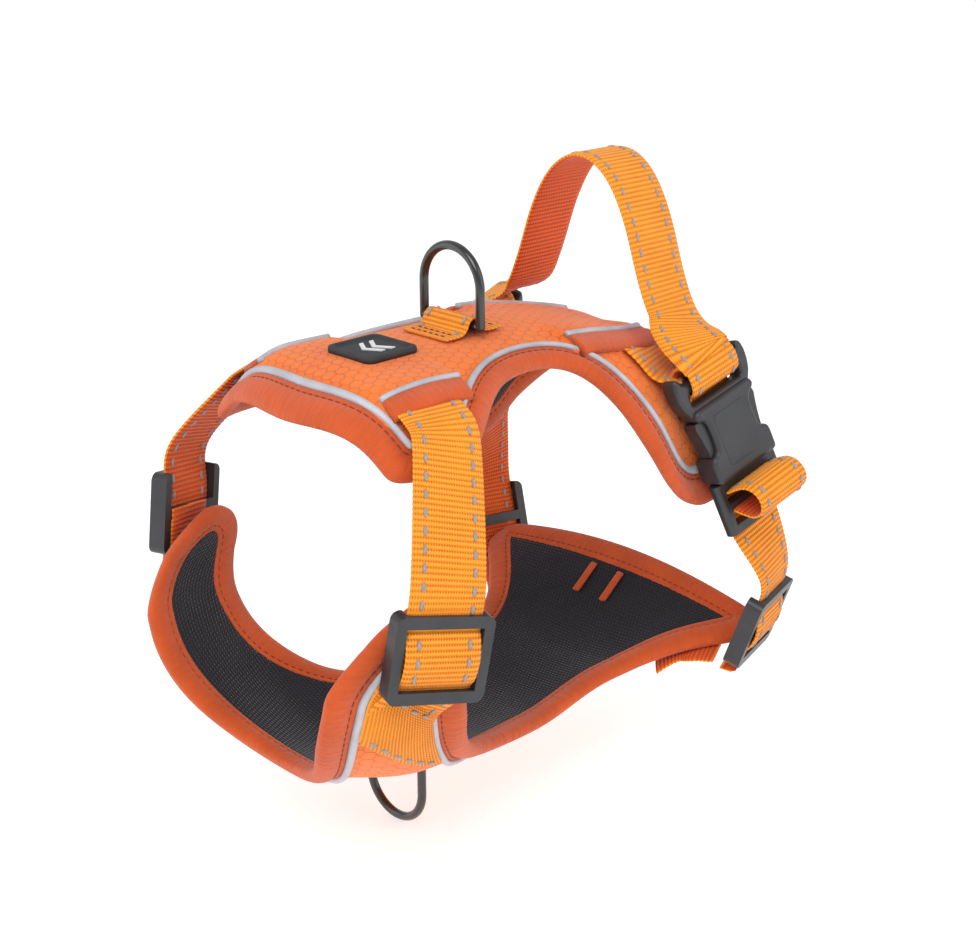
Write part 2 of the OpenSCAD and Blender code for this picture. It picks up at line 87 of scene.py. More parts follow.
WEBBING_W = 25.0
WEBBING_T = 1.5
PANEL_T = 4.05
BINDING_W = 9.0
PIPING_R = 1.15
RIB_PITCH = 1.75
DASH_PITCH = 5.7
DASH_ROWS = (-8.6, 8.6)
RIB_HEIGHT = 0.14
# Length, width and height of one stitch, after its pitch where that is given
DASH_SIZE = (3.3, 1.5, 0.8)
SEAM_STITCH = (3.0, 2.1, 0.55, 0.45)
TAB_STITCH = (2.9, 2.0, 0.6, 0.5)
# Depth of the foam under the outer fabric, and how far fabric and lining may swell
SHELL_LOW = 2.6
LINING_TOP = 2.4
SHELL_SWELL = 0.9
LINING_SWELL = 1.1

# ---------------------------------------------------------------- small maths


def mix(a, b, t):
    return a + (b - a) * t


def smooth(t):
    t = np.clip(t, 0, 1)
    return t * t * (3 - 2 * t)


def unit(v):
    v = np.asarray(v, float)
    return v / np.linalg.norm(v, axis=-1, keepdims=True)


def catmull(points, t):
    """Catmull-Rom curve through the points, at every value of t from 0 to 1."""
    points = np.asarray(points, float)
    last = len(points) - 1
    x = np.clip(np.asarray(t, float), 0, 1) * last
    i = np.minimum(last - 1, np.floor(x)).astype(int)
    f = (x - i)[:, None]
    a, b, c, d = (points[np.clip(i + k, 0, last)] for k in (-1, 0, 1, 2))
    return 0.5 * (2 * b + (c - a) * f + (2 * a - 5 * b + 4 * c - d) * f**2 + (3 * b - a - 3 * c + d) * f**3)


def blur(values, sigma, closed):
    """Smooths rows of values along a line by a Gaussian of sigma samples."""
    reach = int(3 * sigma) + 1
    kernel = np.exp(-0.5 * (np.arange(-reach, reach + 1) / sigma) ** 2)
    kernel /= kernel.sum()
    padded = np.pad(values, ((reach, reach), (0, 0)), mode="wrap" if closed else "edge")
    return np.stack([np.convolve(padded[:, k], kernel, mode="valid") for k in range(values.shape[1])], axis=1)


def lengths(points):
    """Distance of each point along the line."""
    return np.concatenate([[0], np.cumsum(np.linalg.norm(np.diff(points, axis=0), axis=1))])


def resampled(points, step, closed):
    """The same line with points at even steps."""
    loop = np.vstack([points, points[:1]]) if closed else points
    along = lengths(loop)
    count = max(3, round(along[-1] / step))
    at = np.linspace(0, along[-1], count + 1)[: count if closed else None]
    return np.stack([np.interp(at, along, loop[:, k]) for k in range(points.shape[1])], axis=1)


# ---------------------------------------------------------------- panel surfaces
# s is the distance from the middle line, y the place along the dog and h the height over the lining


def back_on(s, y, h):
    s, y, h = np.broadcast_arrays(*(np.asarray(v, float) for v in (s, y, h)))
    t = s / 66
    grow = np.clip((y + 60) / 150, 0, 1)
    a, b = mix(57, 65, grow), mix(59, 92, grow)
    crest = np.where(y < -45, -0.0135 * (y + 45) ** 2, np.where(y > 20, -26 * ((y - 20) / 90) ** 2, 0))
    normal = unit(np.stack([np.sin(t) / a, 0 * t, np.cos(t) / b], axis=-1))
    z = crest + b * (np.cos(t) - 1) - PANEL_T * (1 - smooth(np.abs(s) / 42))
    hollow = 6 * smooth(1 - np.hypot(np.abs(s) - 76, y - 67) / 27)
    return np.stack([a * np.sin(t), y, z], axis=-1) + normal * (h - hollow)[..., None]


def back_y(s, w):
    return w - 75 + 6 * smooth(np.abs(s) / 60) * (1 - smooth(w / 40))


def chest_on(s, y, h):
    s, y, h = np.broadcast_arrays(*(np.asarray(v, float) for v in (s, y, h)))
    curl = 1 - 0.65 * smooth((y + 50) / 60) - 0.6 * smooth((y - 50) / 50)
    turn = np.clip(curl, 0, 1)
    over = np.maximum(0, np.abs(s) - 59 * math.pi / 2)
    t = (np.abs(s) - over) / 59
    half = mix(47, 61, np.clip((y + 98) / 46, 0, 1))
    x = mix(np.abs(s), half * np.sin(t) - 0.16 * over, turn)
    low = -145 + 11 * smooth((-45 - y) / 45) + 8 * smooth((y - 10) / 50) + 31 * smooth((y - 50) / 60)
    z = low + curl * 60 * (1 - np.cos(t)) + over
    normal = unit(np.stack([turn * np.sin(t), 0 * t, -np.cos(t) - 0.12], axis=-1))
    return np.stack([np.sign(s) * (x + normal[..., 0] * h), y, z + normal[..., 2] * h], axis=-1)


def chest_y(s, w):
    front = -82 - 18 * smooth(np.abs(s) / 70) + 24 * smooth((np.abs(s) - 75) / 35)
    return w + mix(front, -82, smooth(w / 80))


BACK_SIDE = (
    (0, 56), (7, 62), (18, 65.5), (30, 65.5), (38, 61), (47, 53), (57, 44), (68, 37.5), (82, 35), (94, 37),
    (103, 44), (110, 55), (116, 68), (124, 78), (134, 82.5), (146, 82), (157, 75), (166, 64), (174, 50), (180, 36),
)
CHEST_SIDE = (
    (0, 98), (5, 107), (13, 111), (21, 110), (28, 104), (34, 93), (38, 78), (42, 63), (49, 50), (60, 40),
    (78, 35.5), (100, 34), (122, 35), (139, 41), (152, 52), (161, 61.5), (170, 68), (180, 64),
)


class Panel:
    """A padded panel: its surface, and its outline as rings of [s, w] at any margin from the edge."""

    def __init__(self, on, y_of, side, corner):
        self.on, self.y_of = on, y_of
        right = catmull(side, np.linspace(0, 1, 240))[:, ::-1]
        front, rear = right[0], right[-1]
        across = np.linspace(-1, 1, 60)[1:-1, None]
        line = np.vstack([
            across * [front[0], 0] + [0, front[1]], right,
            -across * [rear[0], 0] + [0, rear[1]], right[::-1] * [-1, 1],
        ])
        ring = blur(resampled(line, 1.2, True), corner / 1.2, True)
        self.rings = [ring]
        for _ in range(30):
            ring = blur(ring + 0.5 * self.inward(ring), 1.0, True)
            self.rings.append(ring)

    @staticmethod
    def inward(ring):
        along = unit(np.roll(ring, -1, axis=0) - np.roll(ring, 1, axis=0))
        return np.stack([-along[:, 1], along[:, 0]], axis=1)

    def ring(self, margin):
        if margin < 0:
            return self.rings[0] + margin * self.inward(self.rings[0])
        k = min(len(self.rings) - 2, int(margin * 2))
        return mix(self.rings[k], self.rings[k + 1], margin * 2 - k)

    def at(self, sw, h):
        sw = np.asarray(sw, float)
        return self.on(sw[..., 0], self.y_of(sw[..., 0], sw[..., 1]), h)


back = Panel(back_on, back_y, BACK_SIDE, 3.0)
chest = Panel(chest_on, chest_y, CHEST_SIDE, 3.0)

# ---------------------------------------------------------------- materials


class Field:
    """A number that varies over the surface, made of Math nodes."""

    def __init__(self, tree, socket):
        self.tree, self.socket = tree, socket

    def op(self, name, *others):
        node = self.tree.nodes.new("ShaderNodeMath")
        node.operation = name
        self.tree.links.new(self.socket, node.inputs[0])
        for k, other in enumerate(others, 1):
            if isinstance(other, Field):
                self.tree.links.new(other.socket, node.inputs[k])
            else:
                node.inputs[k].default_value = other
        return Field(self.tree, node.outputs[0])

    def __add__(self, other):
        return self.op("ADD", other)

    def __sub__(self, other):
        return self.op("SUBTRACT", other)

    def __mul__(self, other):
        return self.op("MULTIPLY", other)

    def wave(self, period):
        """A wave from 0 to 1 with this period."""
        return (self * (math.tau / period)).op("SINE") * 0.5 + 0.5

    def step(self, low, high):
        node = self.tree.nodes.new("ShaderNodeMapRange")
        node.interpolation_type = "SMOOTHSTEP"
        self.tree.links.new(self.socket, node.inputs["Value"])
        node.inputs["From Min"].default_value = low
        node.inputs["From Max"].default_value = high
        return Field(self.tree, node.outputs["Result"])


class Finish:
    """A material with one Principled shader, and the fields that paint it."""

    def __init__(self, name, **constants):
        self.material = bpy.data.materials.new(name)
        self.material.use_nodes = True
        self.tree = self.material.node_tree
        self.shader = self.tree.nodes["Principled BSDF"]
        for key, value in constants.items():
            self.shader.inputs[key.replace("_", " ")].default_value = value
        self.coordinates = self.node("TexCoord")

    def node(self, kind):
        return self.tree.nodes.new(f"ShaderNode{kind}")

    def link(self, source, target):
        self.tree.links.new(source, target)

    def uv(self):
        """The two distances over the surface in millimetres: across or round, and along."""
        node = self.node("SeparateXYZ")
        self.link(self.coordinates.outputs["UV"], node.inputs[0])
        return [Field(self.tree, node.outputs[k]) * 1000 for k in (0, 1)]

    def noise(self, size, space="Object", stretch=(1, 1, 1), detail=3.0):
        """Noise whose features are about this many millimetres long."""
        mapping = self.node("Mapping")
        mapping.inputs["Scale"].default_value = [k / (size * MM) for k in stretch]
        self.link(self.coordinates.outputs[space], mapping.inputs["Vector"])
        node = self.node("TexNoise")
        node.inputs["Scale"].default_value = 1.0
        node.inputs["Detail"].default_value = detail
        self.link(mapping.outputs[0], node.inputs["Vector"])
        return Field(self.tree, node.outputs["Fac"])

    def paint(self, field, *stops):
        """Base colour from a ramp over the field: stops are (place, colour)."""
        node = self.node("ValToRGB")
        ramp = node.color_ramp
        while len(ramp.elements) < len(stops):
            ramp.elements.new(0.5)
        for element, (place, colour) in zip(ramp.elements, stops):
            element.position = place
            element.color = (*colour, 1)
        self.link(field.socket, node.inputs[0])
        self.link(node.outputs[0], self.shader.inputs["Base Color"])

    def rough(self, field, low, high):
        node = self.node("MapRange")
        self.link(field.socket, node.inputs["Value"])
        node.inputs["To Min"].default_value = low
        node.inputs["To Max"].default_value = high
        self.link(node.outputs["Result"], self.shader.inputs["Roughness"])

    def bump(self, field, height):
        """Bump of the field, with its full height in millimetres."""
        node = self.node("Bump")
        node.inputs["Distance"].default_value = height * MM
        self.link(field.socket, node.inputs["Height"])
        self.link(node.outputs[0], self.shader.inputs["Normal"])


def shade(colour, k):
    return tuple(min(1.0, c * k) for c in colour)


def webbing_finish(name, colour, deep):
    """Ribbed polyester webbing: weft ribs across it and warp threads along it."""
    f = Finish(name, Specular_IOR_Level=0.25, Sheen_Weight=0.15, Sheen_Roughness=0.4)
    u, v = f.uv()
    rib = (v + u.wave(0.9) * 0.22).wave(RIB_PITCH)
    warp = (u + rib * 0.12).wave(0.9)
    grain = f.noise(0.7)
    worn = f.noise(14)
    height = rib * 0.62 + warp * 0.3 + grain * 0.25
    f.paint(height * 0.85 + worn * 0.28, (0.2, shade(deep, 0.75)), (0.52, mix_colour(deep, colour, 0.6)),
            (0.8, colour), (1.0, shade(colour, 1.12)))
    f.rough(height, 0.78, 0.52)
    f.bump(height, 0.34)
    return f.material


def mix_colour(a, b, t):
    return tuple(mix(x, y, t) for x, y in zip(a, b))


def shell_finish():
    """Outer fabric with a fine woven ground and an embossed honeycomb."""
    colour, deep = (0.9, 0.215, 0.022), (0.7, 0.065, 0.006)
    f = Finish("shell_fabric", Specular_IOR_Level=0.2, Sheen_Weight=0.2, Sheen_Roughness=0.5)
    u, v = f.uv()
    cell, tall = 4.6, 4.6 * math.sqrt(3)

    def nearest(du, dv):
        x = (u + du).op("FLOORED_MODULO", cell) - cell / 2
        y = (v + dv).op("FLOORED_MODULO", tall) - tall / 2
        x, y = x.op("ABSOLUTE"), y.op("ABSOLUTE")
        return x.op("MAXIMUM", x * 0.5 + y * (math.sqrt(3) / 2))

    rim = nearest(0, 0).op("MINIMUM", nearest(cell / 2, tall / 2)) * (2 / cell)
    line = rim.step(0.84, 0.97)
    thread = u.wave(0.62) * v.wave(0.62)
    grain = f.noise(1.2)
    cloud = f.noise(22)
    height = thread * 0.3 + grain * 0.2 - line * 0.9 + 0.9
    f.paint(cloud * 0.5 + grain * 0.25 + thread * 0.15 - line * 0.1 + 0.04, (0.15, deep),
            (0.4, mix_colour(deep, colour, 0.75)), (0.75, colour))
    f.rough(height, 0.8, 0.6)
    f.bump(height, 0.3)
    return f.material


def binding_finish():
    """Woven edge tape with fine twill and small gathers across it."""
    colour = (0.62, 0.095, 0.02)
    f = Finish("binding_tape", Specular_IOR_Level=0.18, Sheen_Weight=0.25, Sheen_Roughness=0.45)
    u, v = f.uv()
    twill = (u + v).wave(0.55)
    gathers = f.noise(1.0, "UV", (0.12, 0.55, 1))
    cloud = f.noise(18)
    f.paint(cloud * 0.55 + gathers * 0.3 + twill * 0.15,
            (0.2, shade(colour, 0.72)), (0.75, shade(colour, 1.15)))
    height = twill * 0.12 + gathers * 1.0
    f.rough(twill, 0.85, 0.7)
    f.bump(height, 0.6)
    return f.material


def lining_finish():
    """Black air mesh: a dense grid of small open cells."""
    f = Finish("mesh_lining", Specular_IOR_Level=0.25, Sheen_Weight=0.35, Sheen_Roughness=0.35)
    u, v = f.uv()
    holes = (u + v * 0.5).wave(1.5) * v.wave(1.3)
    grain = f.noise(0.9)
    cloud = f.noise(16)
    height = holes * -0.8 + grain * 0.5 + 0.8
    f.paint(height * 0.5 + cloud * 0.5, (0.25, (0.005, 0.005, 0.008)), (0.9, (0.02, 0.02, 0.027)))
    f.rough(height, 0.95, 0.7)
    f.bump(height, 0.35)
    return f.material


def piping_finish():
    """Reflective tape rolled round a cord."""
    f = Finish("piping", Specular_IOR_Level=0.5, Metallic=0.25)
    u, v = f.uv()
    weave = (u * 2 + v).wave(0.5)
    cloud = f.noise(9)
    f.paint(cloud * 0.7 + weave * 0.3, (0.2, (0.36, 0.37, 0.42)), (0.8, (0.62, 0.62, 0.67)))
    f.rough(cloud, 0.35, 0.55)
    f.bump(weave * 0.3 + cloud, 0.12)
    return f.material


def grained_finish(name, size, dark, light, rough, height):
    """Plain stuff with a fine grain: thread, or raised print."""
    f = Finish(name, Specular_IOR_Level=0.3)
    grain = f.noise(size)
    f.paint(grain, dark, light)
    f.rough(grain, *rough)
    f.bump(grain, height)
    return f.material


def thread_finish(name, dark, light):
    return grained_finish(name, 0.35, (0.3, dark), (0.7, light), (0.5, 0.75), 0.1)


def plastic_finish():
    """Moulded acetal with a fine spark-eroded grain and faint flow marks."""
    f = Finish("plastic", Specular_IOR_Level=0.5, Coat_Weight=0.04, Coat_Roughness=0.25)
    grain = f.noise(0.35, detail=2.0)
    cloud = f.noise(9)
    f.paint(cloud * 0.7 + grain * 0.3, (0.3, (0.018, 0.019, 0.022)), (0.75, (0.036, 0.037, 0.042)))
    f.rough(cloud * 0.6 + grain * 0.4, 0.3, 0.5)
    f.bump(grain, 0.03)
    return f.material


def enamel_finish():
    """Gloss black coating on steel wire, with orange-peel and small rubs."""
    f = Finish("ring_metal", Metallic=0.2, Coat_Weight=0.6, Coat_Roughness=0.08, Specular_IOR_Level=0.6)
    peel = f.noise(1.6)
    rubs = f.noise(5, stretch=(1, 1, 0.3), detail=5.0)
    f.paint(rubs, (0.4, (0.006, 0.006, 0.007)), (0.85, (0.03, 0.03, 0.034)))
    f.rough(rubs, 0.16, 0.36)
    f.bump(peel, 0.04)
    return f.material


def rubber_finish():
    """Matt moulded rubber."""
    f = Finish("rubber", Specular_IOR_Level=0.35)
    grain = f.noise(0.5)
    cloud = f.noise(7)
    f.paint(cloud * 0.6 + grain * 0.4, (0.25, (0.022, 0.024, 0.027)), (0.8, (0.05, 0.052, 0.057)))
    f.rough(grain, 0.55, 0.8)
    f.bump(grain, 0.08)
    return f.material


MATERIALS = {
    "webbing": webbing_finish("webbing", (0.9, 0.33, 0.02), (0.66, 0.12, 0.006)),
    # Darker, redder copy of the same webbing for the inner face of the straps: painted shade
    "webbing_inner_painted_shade": webbing_finish("webbing_inner_painted_shade", (0.78, 0.13, 0.018), (0.5, 0.045, 0.006)),
    "shell": shell_finish(),
    "binding": binding_finish(),
    "lining": lining_finish(),
    "piping": piping_finish(),
    "dash": thread_finish("reflective_thread", (0.2, 0.19, 0.2), (0.42, 0.4, 0.4)),
    "thread": thread_finish("binding_thread", (0.2, 0.03, 0.008), (0.33, 0.05, 0.012)),
    "plastic": plastic_finish(),
    "enamel": enamel_finish(),
    "rubber": rubber_finish(),
    "print": grained_finish("patch_print", 0.6, (0.3, (0.62, 0.62, 0.63)), (0.8, (0.82, 0.82, 0.82)), (0.5, 0.7), 0.06),
}

# ---------------------------------------------------------------- meshes


def new_object(name, data):
    obj = bpy.data.objects.new(name, data)
    bpy.context.scene.collection.objects.link(obj)
    return obj


def evaluated(obj):
    return obj.evaluated_get(bpy.context.evaluated_depsgraph_get())


def add_mesh(name, points, faces, uvs, materials, indices=None):
    """Object from points in millimetres. uvs has one pair in millimetres for each face corner."""
    mesh = bpy.data.meshes.new(name)
    mesh.from_pydata((np.asarray(points) * MM).tolist(), [], faces)
    for m in materials:
        mesh.materials.append(MATERIALS[m])
    if indices is not None:
        mesh.polygons.foreach_set("material_index", indices)
    layer = mesh.uv_layers.new(name="UVMap")
    layer.data.foreach_set("uv", (np.asarray(uvs, float) * MM).ravel())
    mesh.polygons.foreach_set("use_smooth", [True] * len(faces))
    mesh.update()
    return new_object(name, mesh)


def settle(obj, body, slot, *nodes):
    """Gives a piece its body and hides the nodes that it stands for. The slot is not used."""
    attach(obj, body)
    if nodes:
        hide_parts(*nodes)
    return obj


def tube(name, grid, closed, materials, round_of=None, along=None, index_of=None):
    """Closed solid from a grid of [along, round] points. An open one gets a cap at each end."""
    rows, sides = grid.shape[:2]
    if round_of is None:
        round_of = lengths(np.vstack([grid[0], grid[0][:1]]))
    if along is None:
        middle = grid.mean(axis=1)
        along = lengths(np.vstack([middle, middle[:1]]) if closed else middle)
    faces, uvs, indices = [], [], []
    for i in range(rows if closed else rows - 1):
        for j in range(sides):
            i2, j2 = (i + 1) % rows, (j + 1) % sides
            faces.append((i * sides + j, i * sides + j2, i2 * sides + j2, i2 * sides + j))
            uvs += [(round_of[j], along[i]), (round_of[j + 1], along[i]),
                    (round_of[j + 1], along[i + 1]), (round_of[j], along[i + 1])]
            indices.append(index_of[j] if index_of is not None else 0)
    if not closed:
        for i, order in ((0, range(sides - 1, -1, -1)), (rows - 1, range(sides))):
            faces.append(tuple(i * sides + j for j in order))
            uvs += [(round_of[j], along[i]) for j in order]
            indices.append(0)
    return add_mesh(name, grid.reshape(-1, 3), faces, uvs, materials, indices)


def ring_sweep(name, panel, profile, materials):
    """Sweeps a closed profile of [margin, height] round a panel's edge."""
    grid = np.stack([panel.at(panel.ring(m), h) for m, h in profile], axis=1)
    return tube(name, grid, True, materials)


def line_sweep(name, line, on, profile, materials):
    """Sweeps a closed profile of [offset, height] along an open line of [s, y] on a surface."""
    along = unit(np.gradient(line, axis=0))
    normal = np.stack([along[:, 1], -along[:, 0]], axis=1)
    grid = np.stack([on(*(line + normal * m).T, h) for m, h in profile], axis=1)
    return tube(name, grid, False, materials)


def round_profile(margin, height, radius):
    """Circle as a profile."""
    a = np.linspace(0, math.tau, 12, endpoint=False)
    return np.stack([margin - radius * np.cos(a), height + radius * np.sin(a)], axis=1)


class Threads:
    """Many short stitches gathered in one mesh."""

    ROUND, ROWS = 6, 5

    def __init__(self):
        self.points, self.faces = [], []

    def add(self, centre, along, across, out, length, width, height):
        """One stitch: a flattened bead along its direction."""
        base = len(self.points) * self.ROUND * self.ROWS
        a = np.linspace(0, math.tau, self.ROUND, endpoint=False)
        rows = []
        for x in np.linspace(-1, 1, self.ROWS):
            k = math.sqrt(max(0.12, 1 - x * x * 0.94))
            rows.append(centre + along * x * length / 2 + np.outer(np.cos(a), across) * width / 2 * k
                        + np.outer(np.sin(a), out) * height / 2 * k)
        self.points.append(np.concatenate(rows))
        n = self.ROUND
        for i in range(self.ROWS - 1):
            for j in range(n):
                j2 = (j + 1) % n
                low, high = base + i * n, base + (i + 1) * n
                self.faces.append((low + j, low + j2, high + j2, high + j))
        self.faces.append(tuple(base + j for j in range(n - 1, -1, -1)))
        self.faces.append(tuple(base + (self.ROWS - 1) * n + j for j in range(n)))

    def along_line(self, points, out, pitch, length, width, height):
        """Evenly spaced stitches along a line of points with outward directions."""
        at = lengths(points)
        count = max(1, int((at[-1] - length) / pitch))
        start = (at[-1] - (count - 1) * pitch) / 2
        for k in range(count):
            place = start + k * pitch
            p, ahead = (np.array([np.interp(x, at, points[:, c]) for c in range(3)]) for x in (place, place + 0.3))
            o = unit(np.array([np.interp(place, at, out[:, c]) for c in range(3)]))
            d = ahead - p
            if np.linalg.norm(d) < 1e-6:
                continue
            d = unit(d)
            self.add(p, d, unit(np.cross(o, d)), o, length, width, height)

    def build(self, name, material):
        uvs = np.zeros((sum(len(f) for f in self.faces), 2))
        return add_mesh(name, np.concatenate(self.points), self.faces, uvs, [material])


# ---------------------------------------------------------------- padded panels

FILL_STEP = 3.2
CLOTH_FRAMES = 20
CLOTH_PRESSURE = 4.0


def inside(points, ring):
    """Which points lie inside a closed ring."""
    x, y = points[:, 0, None], points[:, 1, None]
    x1, y1 = ring.T
    x2, y2 = np.roll(ring, -1, axis=0).T
    crosses = ((y1 > y) != (y2 > y)) & (x < (x2 - x1) * (y - y1) / (y2 - y1 + 1e-12) + x1)
    return crosses.sum(axis=1) % 2 == 1


def filled(ring, extra=()):
    """Triangles that fill a ring of [s, w], with extra points kept."""
    ring = resampled(ring, 2.4, True)
    low, high = ring.min(axis=0), ring.max(axis=0)
    rows = []
    for k in range(int((high[1] - low[1]) / (FILL_STEP * 0.866)) + 1):
        half = int(high[0] / FILL_STEP) + 1
        s = (np.arange(-half, half + 1) + 0.5 * (k % 2)) * FILL_STEP
        rows.append(np.stack([s, np.full_like(s, low[1] + k * FILL_STEP * 0.866)], axis=1))
    grid = np.concatenate(rows)
    keep = inside(grid, ring)
    for others, gap in ((ring, 1.7), (np.asarray(extra).reshape(-1, 2), 1.3)):
        if len(others):
            keep &= np.linalg.norm(grid[:, None] - others[None], axis=2).min(axis=1) > gap
    points = np.concatenate([ring, grid[keep], np.asarray(extra).reshape(-1, 2)])
    edges = [(k, (k + 1) % len(ring)) for k in range(len(ring))]
    out = geometry.delaunay_2d_cdt([Vector(p) for p in points], edges, [list(range(len(ring)))], 1, 1e-4)
    return np.array([tuple(p) for p in out[0]]), [tuple(f) for f in out[2]], len(ring)


def pad(name, panel, margin, low, high, materials, extra=()):
    """Closed padded layer of a panel between two heights, which are functions of s and w."""
    flat, triangles, border = filled(panel.ring(margin), extra)
    count = len(flat)
    top = panel.at(flat, high(*flat.T))
    bottom = panel.at(flat, low(*flat.T))
    faces = [*triangles, *(tuple(count + k for k in reversed(f)) for f in triangles)]
    faces += [(count + k, count + (k + 1) % border, (k + 1) % border, k) for k in range(border)]
    sheet = np.concatenate([flat, flat])
    uvs = [sheet[k] for f in faces for k in f]
    obj = add_mesh(name, np.concatenate([top, bottom]), faces, uvs, materials)
    obj.data.validate()
    return obj, flat, border


def inflate(obj, pinned, cap):
    """Swells the unpinned side of a padded layer by cloth under pressure, and holds each point within its cap."""
    rest = np.array([v.co for v in obj.data.vertices])
    group = obj.vertex_groups.new(name="pinned")
    for k, weight in enumerate(pinned):
        if weight > 0:
            group.add([k], float(weight), "REPLACE")
    cloth = obj.modifiers.new("Cloth", "CLOTH")
    settings = cloth.settings
    settings.quality = 4
    settings.mass = 0.2
    settings.tension_stiffness = settings.compression_stiffness = 12
    settings.bending_stiffness = 0.5
    settings.use_pressure = True
    settings.uniform_pressure_force = CLOTH_PRESSURE
    settings.effector_weights.gravity = 0
    settings.vertex_group_mass = group.name
    cloth.collision_settings.use_collision = False
    cloth.point_cache.frame_start, cloth.point_cache.frame_end = 1, CLOTH_FRAMES
    scene = bpy.context.scene
    for k in range(1, CLOTH_FRAMES + 1):
        scene.frame_set(k)
    shape = evaluated(obj).to_mesh()
    moved = np.array([v.co for v in shape.vertices]) - rest
    evaluated(obj).to_mesh_clear()
    obj.modifiers.remove(cloth)
    obj.vertex_groups.clear()
    scene.frame_set(1)
    moved = np.nan_to_num(moved)
    size = np.linalg.norm(moved, axis=1, keepdims=True) + 1e-12
    limit = np.asarray(cap)[:, None] * MM
    moved *= np.minimum(1, limit * np.tanh(size / np.maximum(limit, 1e-9)) / size)
    obj.data.vertices.foreach_set("co", (rest + moved).ravel())
    obj.data.update()


def subdivide(obj):
    """Adds one smooth subdivision to the mesh itself."""
    modifier = obj.modifiers.new("Subdivision", "SUBSURF")
    modifier.levels = modifier.render_levels = 1
    modifier.boundary_smooth = "PRESERVE_CORNERS"
    shape = bpy.data.meshes.new_from_object(evaluated(obj))
    obj.modifiers.clear()
    old, obj.data = obj.data, shape
    name = old.name
    bpy.data.meshes.remove(old)
    shape.name = name


# The centre cover of the back panel stands up over the straps along four lines of [s, y]
COVER_RISE = 2.6
COVER_LINES = {
    "front": ((41.5, -61), (42.5, -50), (42, -39), (42.5, -29)),
    "rear": ((35, 29), (34.5, 41), (33.5, 54), (30.5, 68), (24, 82)),
}
COVER_STEPS = 24


def cover_line(name, side):
    return catmull(COVER_LINES[name], np.linspace(0, 1, COVER_STEPS)) * [side, 1]


def cover_height(s, y):
    """How far the cover stands up over the panel at this place."""
    rise = np.zeros_like(s)
    for name in COVER_LINES:
        line = cover_line(name, 1)
        edge = np.interp(y, line[:, 1], line[:, 0])
        swell = smooth((y - line[0, 1] + 3) / 5) * smooth((line[-1, 1] + 3 - y) / 5)
        under = smooth((np.abs(s) - edge + 26) / 17)
        rise = np.maximum(rise, COVER_RISE * swell * under * (np.abs(s) < edge + 0.05))
    return rise


def level(h):
    """The same height at every s and w."""
    return lambda s, w: 0 * s + h


def swell(obj, border, amount, cap, outer):
    """Inflates the outer or the inner side of a padded layer, by an amount from 0 to 1 inside its border."""
    free = np.where(np.arange(len(amount)) < border, 0.0, amount)
    held = np.zeros(len(free))
    free = np.concatenate([free, held] if outer else [held, free])
    inflate(obj, 1 - free, cap * free)
    subdivide(obj)


def make_shell(label, panel, high, distance, walls=()):
    """Outer fabric of a panel over its foam, which lies flat where a ring tab is sewn on."""
    name = f"{label}_outer_fabric"
    shell, flat, border = pad(name, panel, BINDING_W - 1, level(SHELL_LOW), high, ["shell"], walls)
    swell(shell, border, smooth((distance(flat) - 14) / 8), SHELL_SWELL, True)
    settle(shell, "root", "shell_fabric", f"{label}_shell")


def make_lining(label, panel):
    """Foam-backed mesh on the dog's side of a panel."""
    name = f"{label}_mesh_lining"
    lining, flat, border = pad(name, panel, BINDING_W - 1, level(-0.1), level(LINING_TOP), ["lining"])
    swell(lining, border, np.ones(len(flat)), LINING_SWELL, False)
    settle(lining, "root", "mesh_lining", f"{label}_lining")


def make_back_panel():
    def high(s, w):
        return PANEL_T - 0.05 + cover_height(s, back_y(s, w))

    walls = []
    for name in COVER_LINES:
        for side in (-1, 1):
            line = cover_line(name, side)
            for shift in (0, 0.5):
                w = line[:, 1] + 75 - 6 * smooth(np.abs(line[:, 0]) / 60) * (1 - smooth((line[:, 1] + 75) / 40))
                walls.append(np.stack([line[:, 0] + side * shift, w], axis=1))
    walls = np.concatenate(walls)
    walls = walls[inside(walls, back.ring(BINDING_W + 0.5))]
    make_shell("back", back, high, lambda flat: np.abs(flat[:, 0]), walls)
    make_lining("back", back)


def make_chest_panel():
    make_shell("chest", chest, level(PANEL_T), lambda flat: np.hypot(flat[:, 0], chest_y(*flat.T) + 30))
    make_lining("chest", chest)


# Cross-section of the sewn edge tape as [margin, height]: round over the edge, pinched at its seam
BINDING_PROFILE = (
    (9.2, 3.4), (8.9, 4.3), (8.0, 4.25), (7.2, 4.0), (6.2, 4.75), (4.6, 5.15), (2.8, 5.0), (1.3, 4.4), (0.3, 3.4),
    (0.0, 2.2), (0.2, 0.9), (1.1, 0.0), (2.8, -0.6), (4.8, -0.8), (6.6, -0.55), (7.6, 0.0), (8.4, -0.3), (9.3, -0.25),
    (9.6, 0.6),
)
SEAM_MARGIN = 7.3


def make_edges(label, panel, binding_node, piping_node):
    """Binding, piping and the seam's stitches round one panel."""
    binding = ring_sweep(f"{label}_edge_binding", panel, BINDING_PROFILE, ["binding"])
    settle(binding, "root", "binding_tape", binding_node)
    profile = round_profile(BINDING_W + 0.9, PANEL_T + 0.75, PIPING_R)
    piping = ring_sweep(f"{label}_edge_piping", panel, profile, ["piping"])
    settle(piping, "root", "piping", piping_node)
    seam = panel.ring(SEAM_MARGIN)
    seam = np.vstack([seam, seam[:1]])
    threads = Threads()
    for h, up in ((4.1, 1), (-0.1, -1)):
        points = panel.at(seam, h)
        threads.along_line(points, panel.at(seam, h + up) - points, *SEAM_STITCH)
    settle(threads.build(f"{label}_seam_stitches", "thread"), "root", "binding_tape")


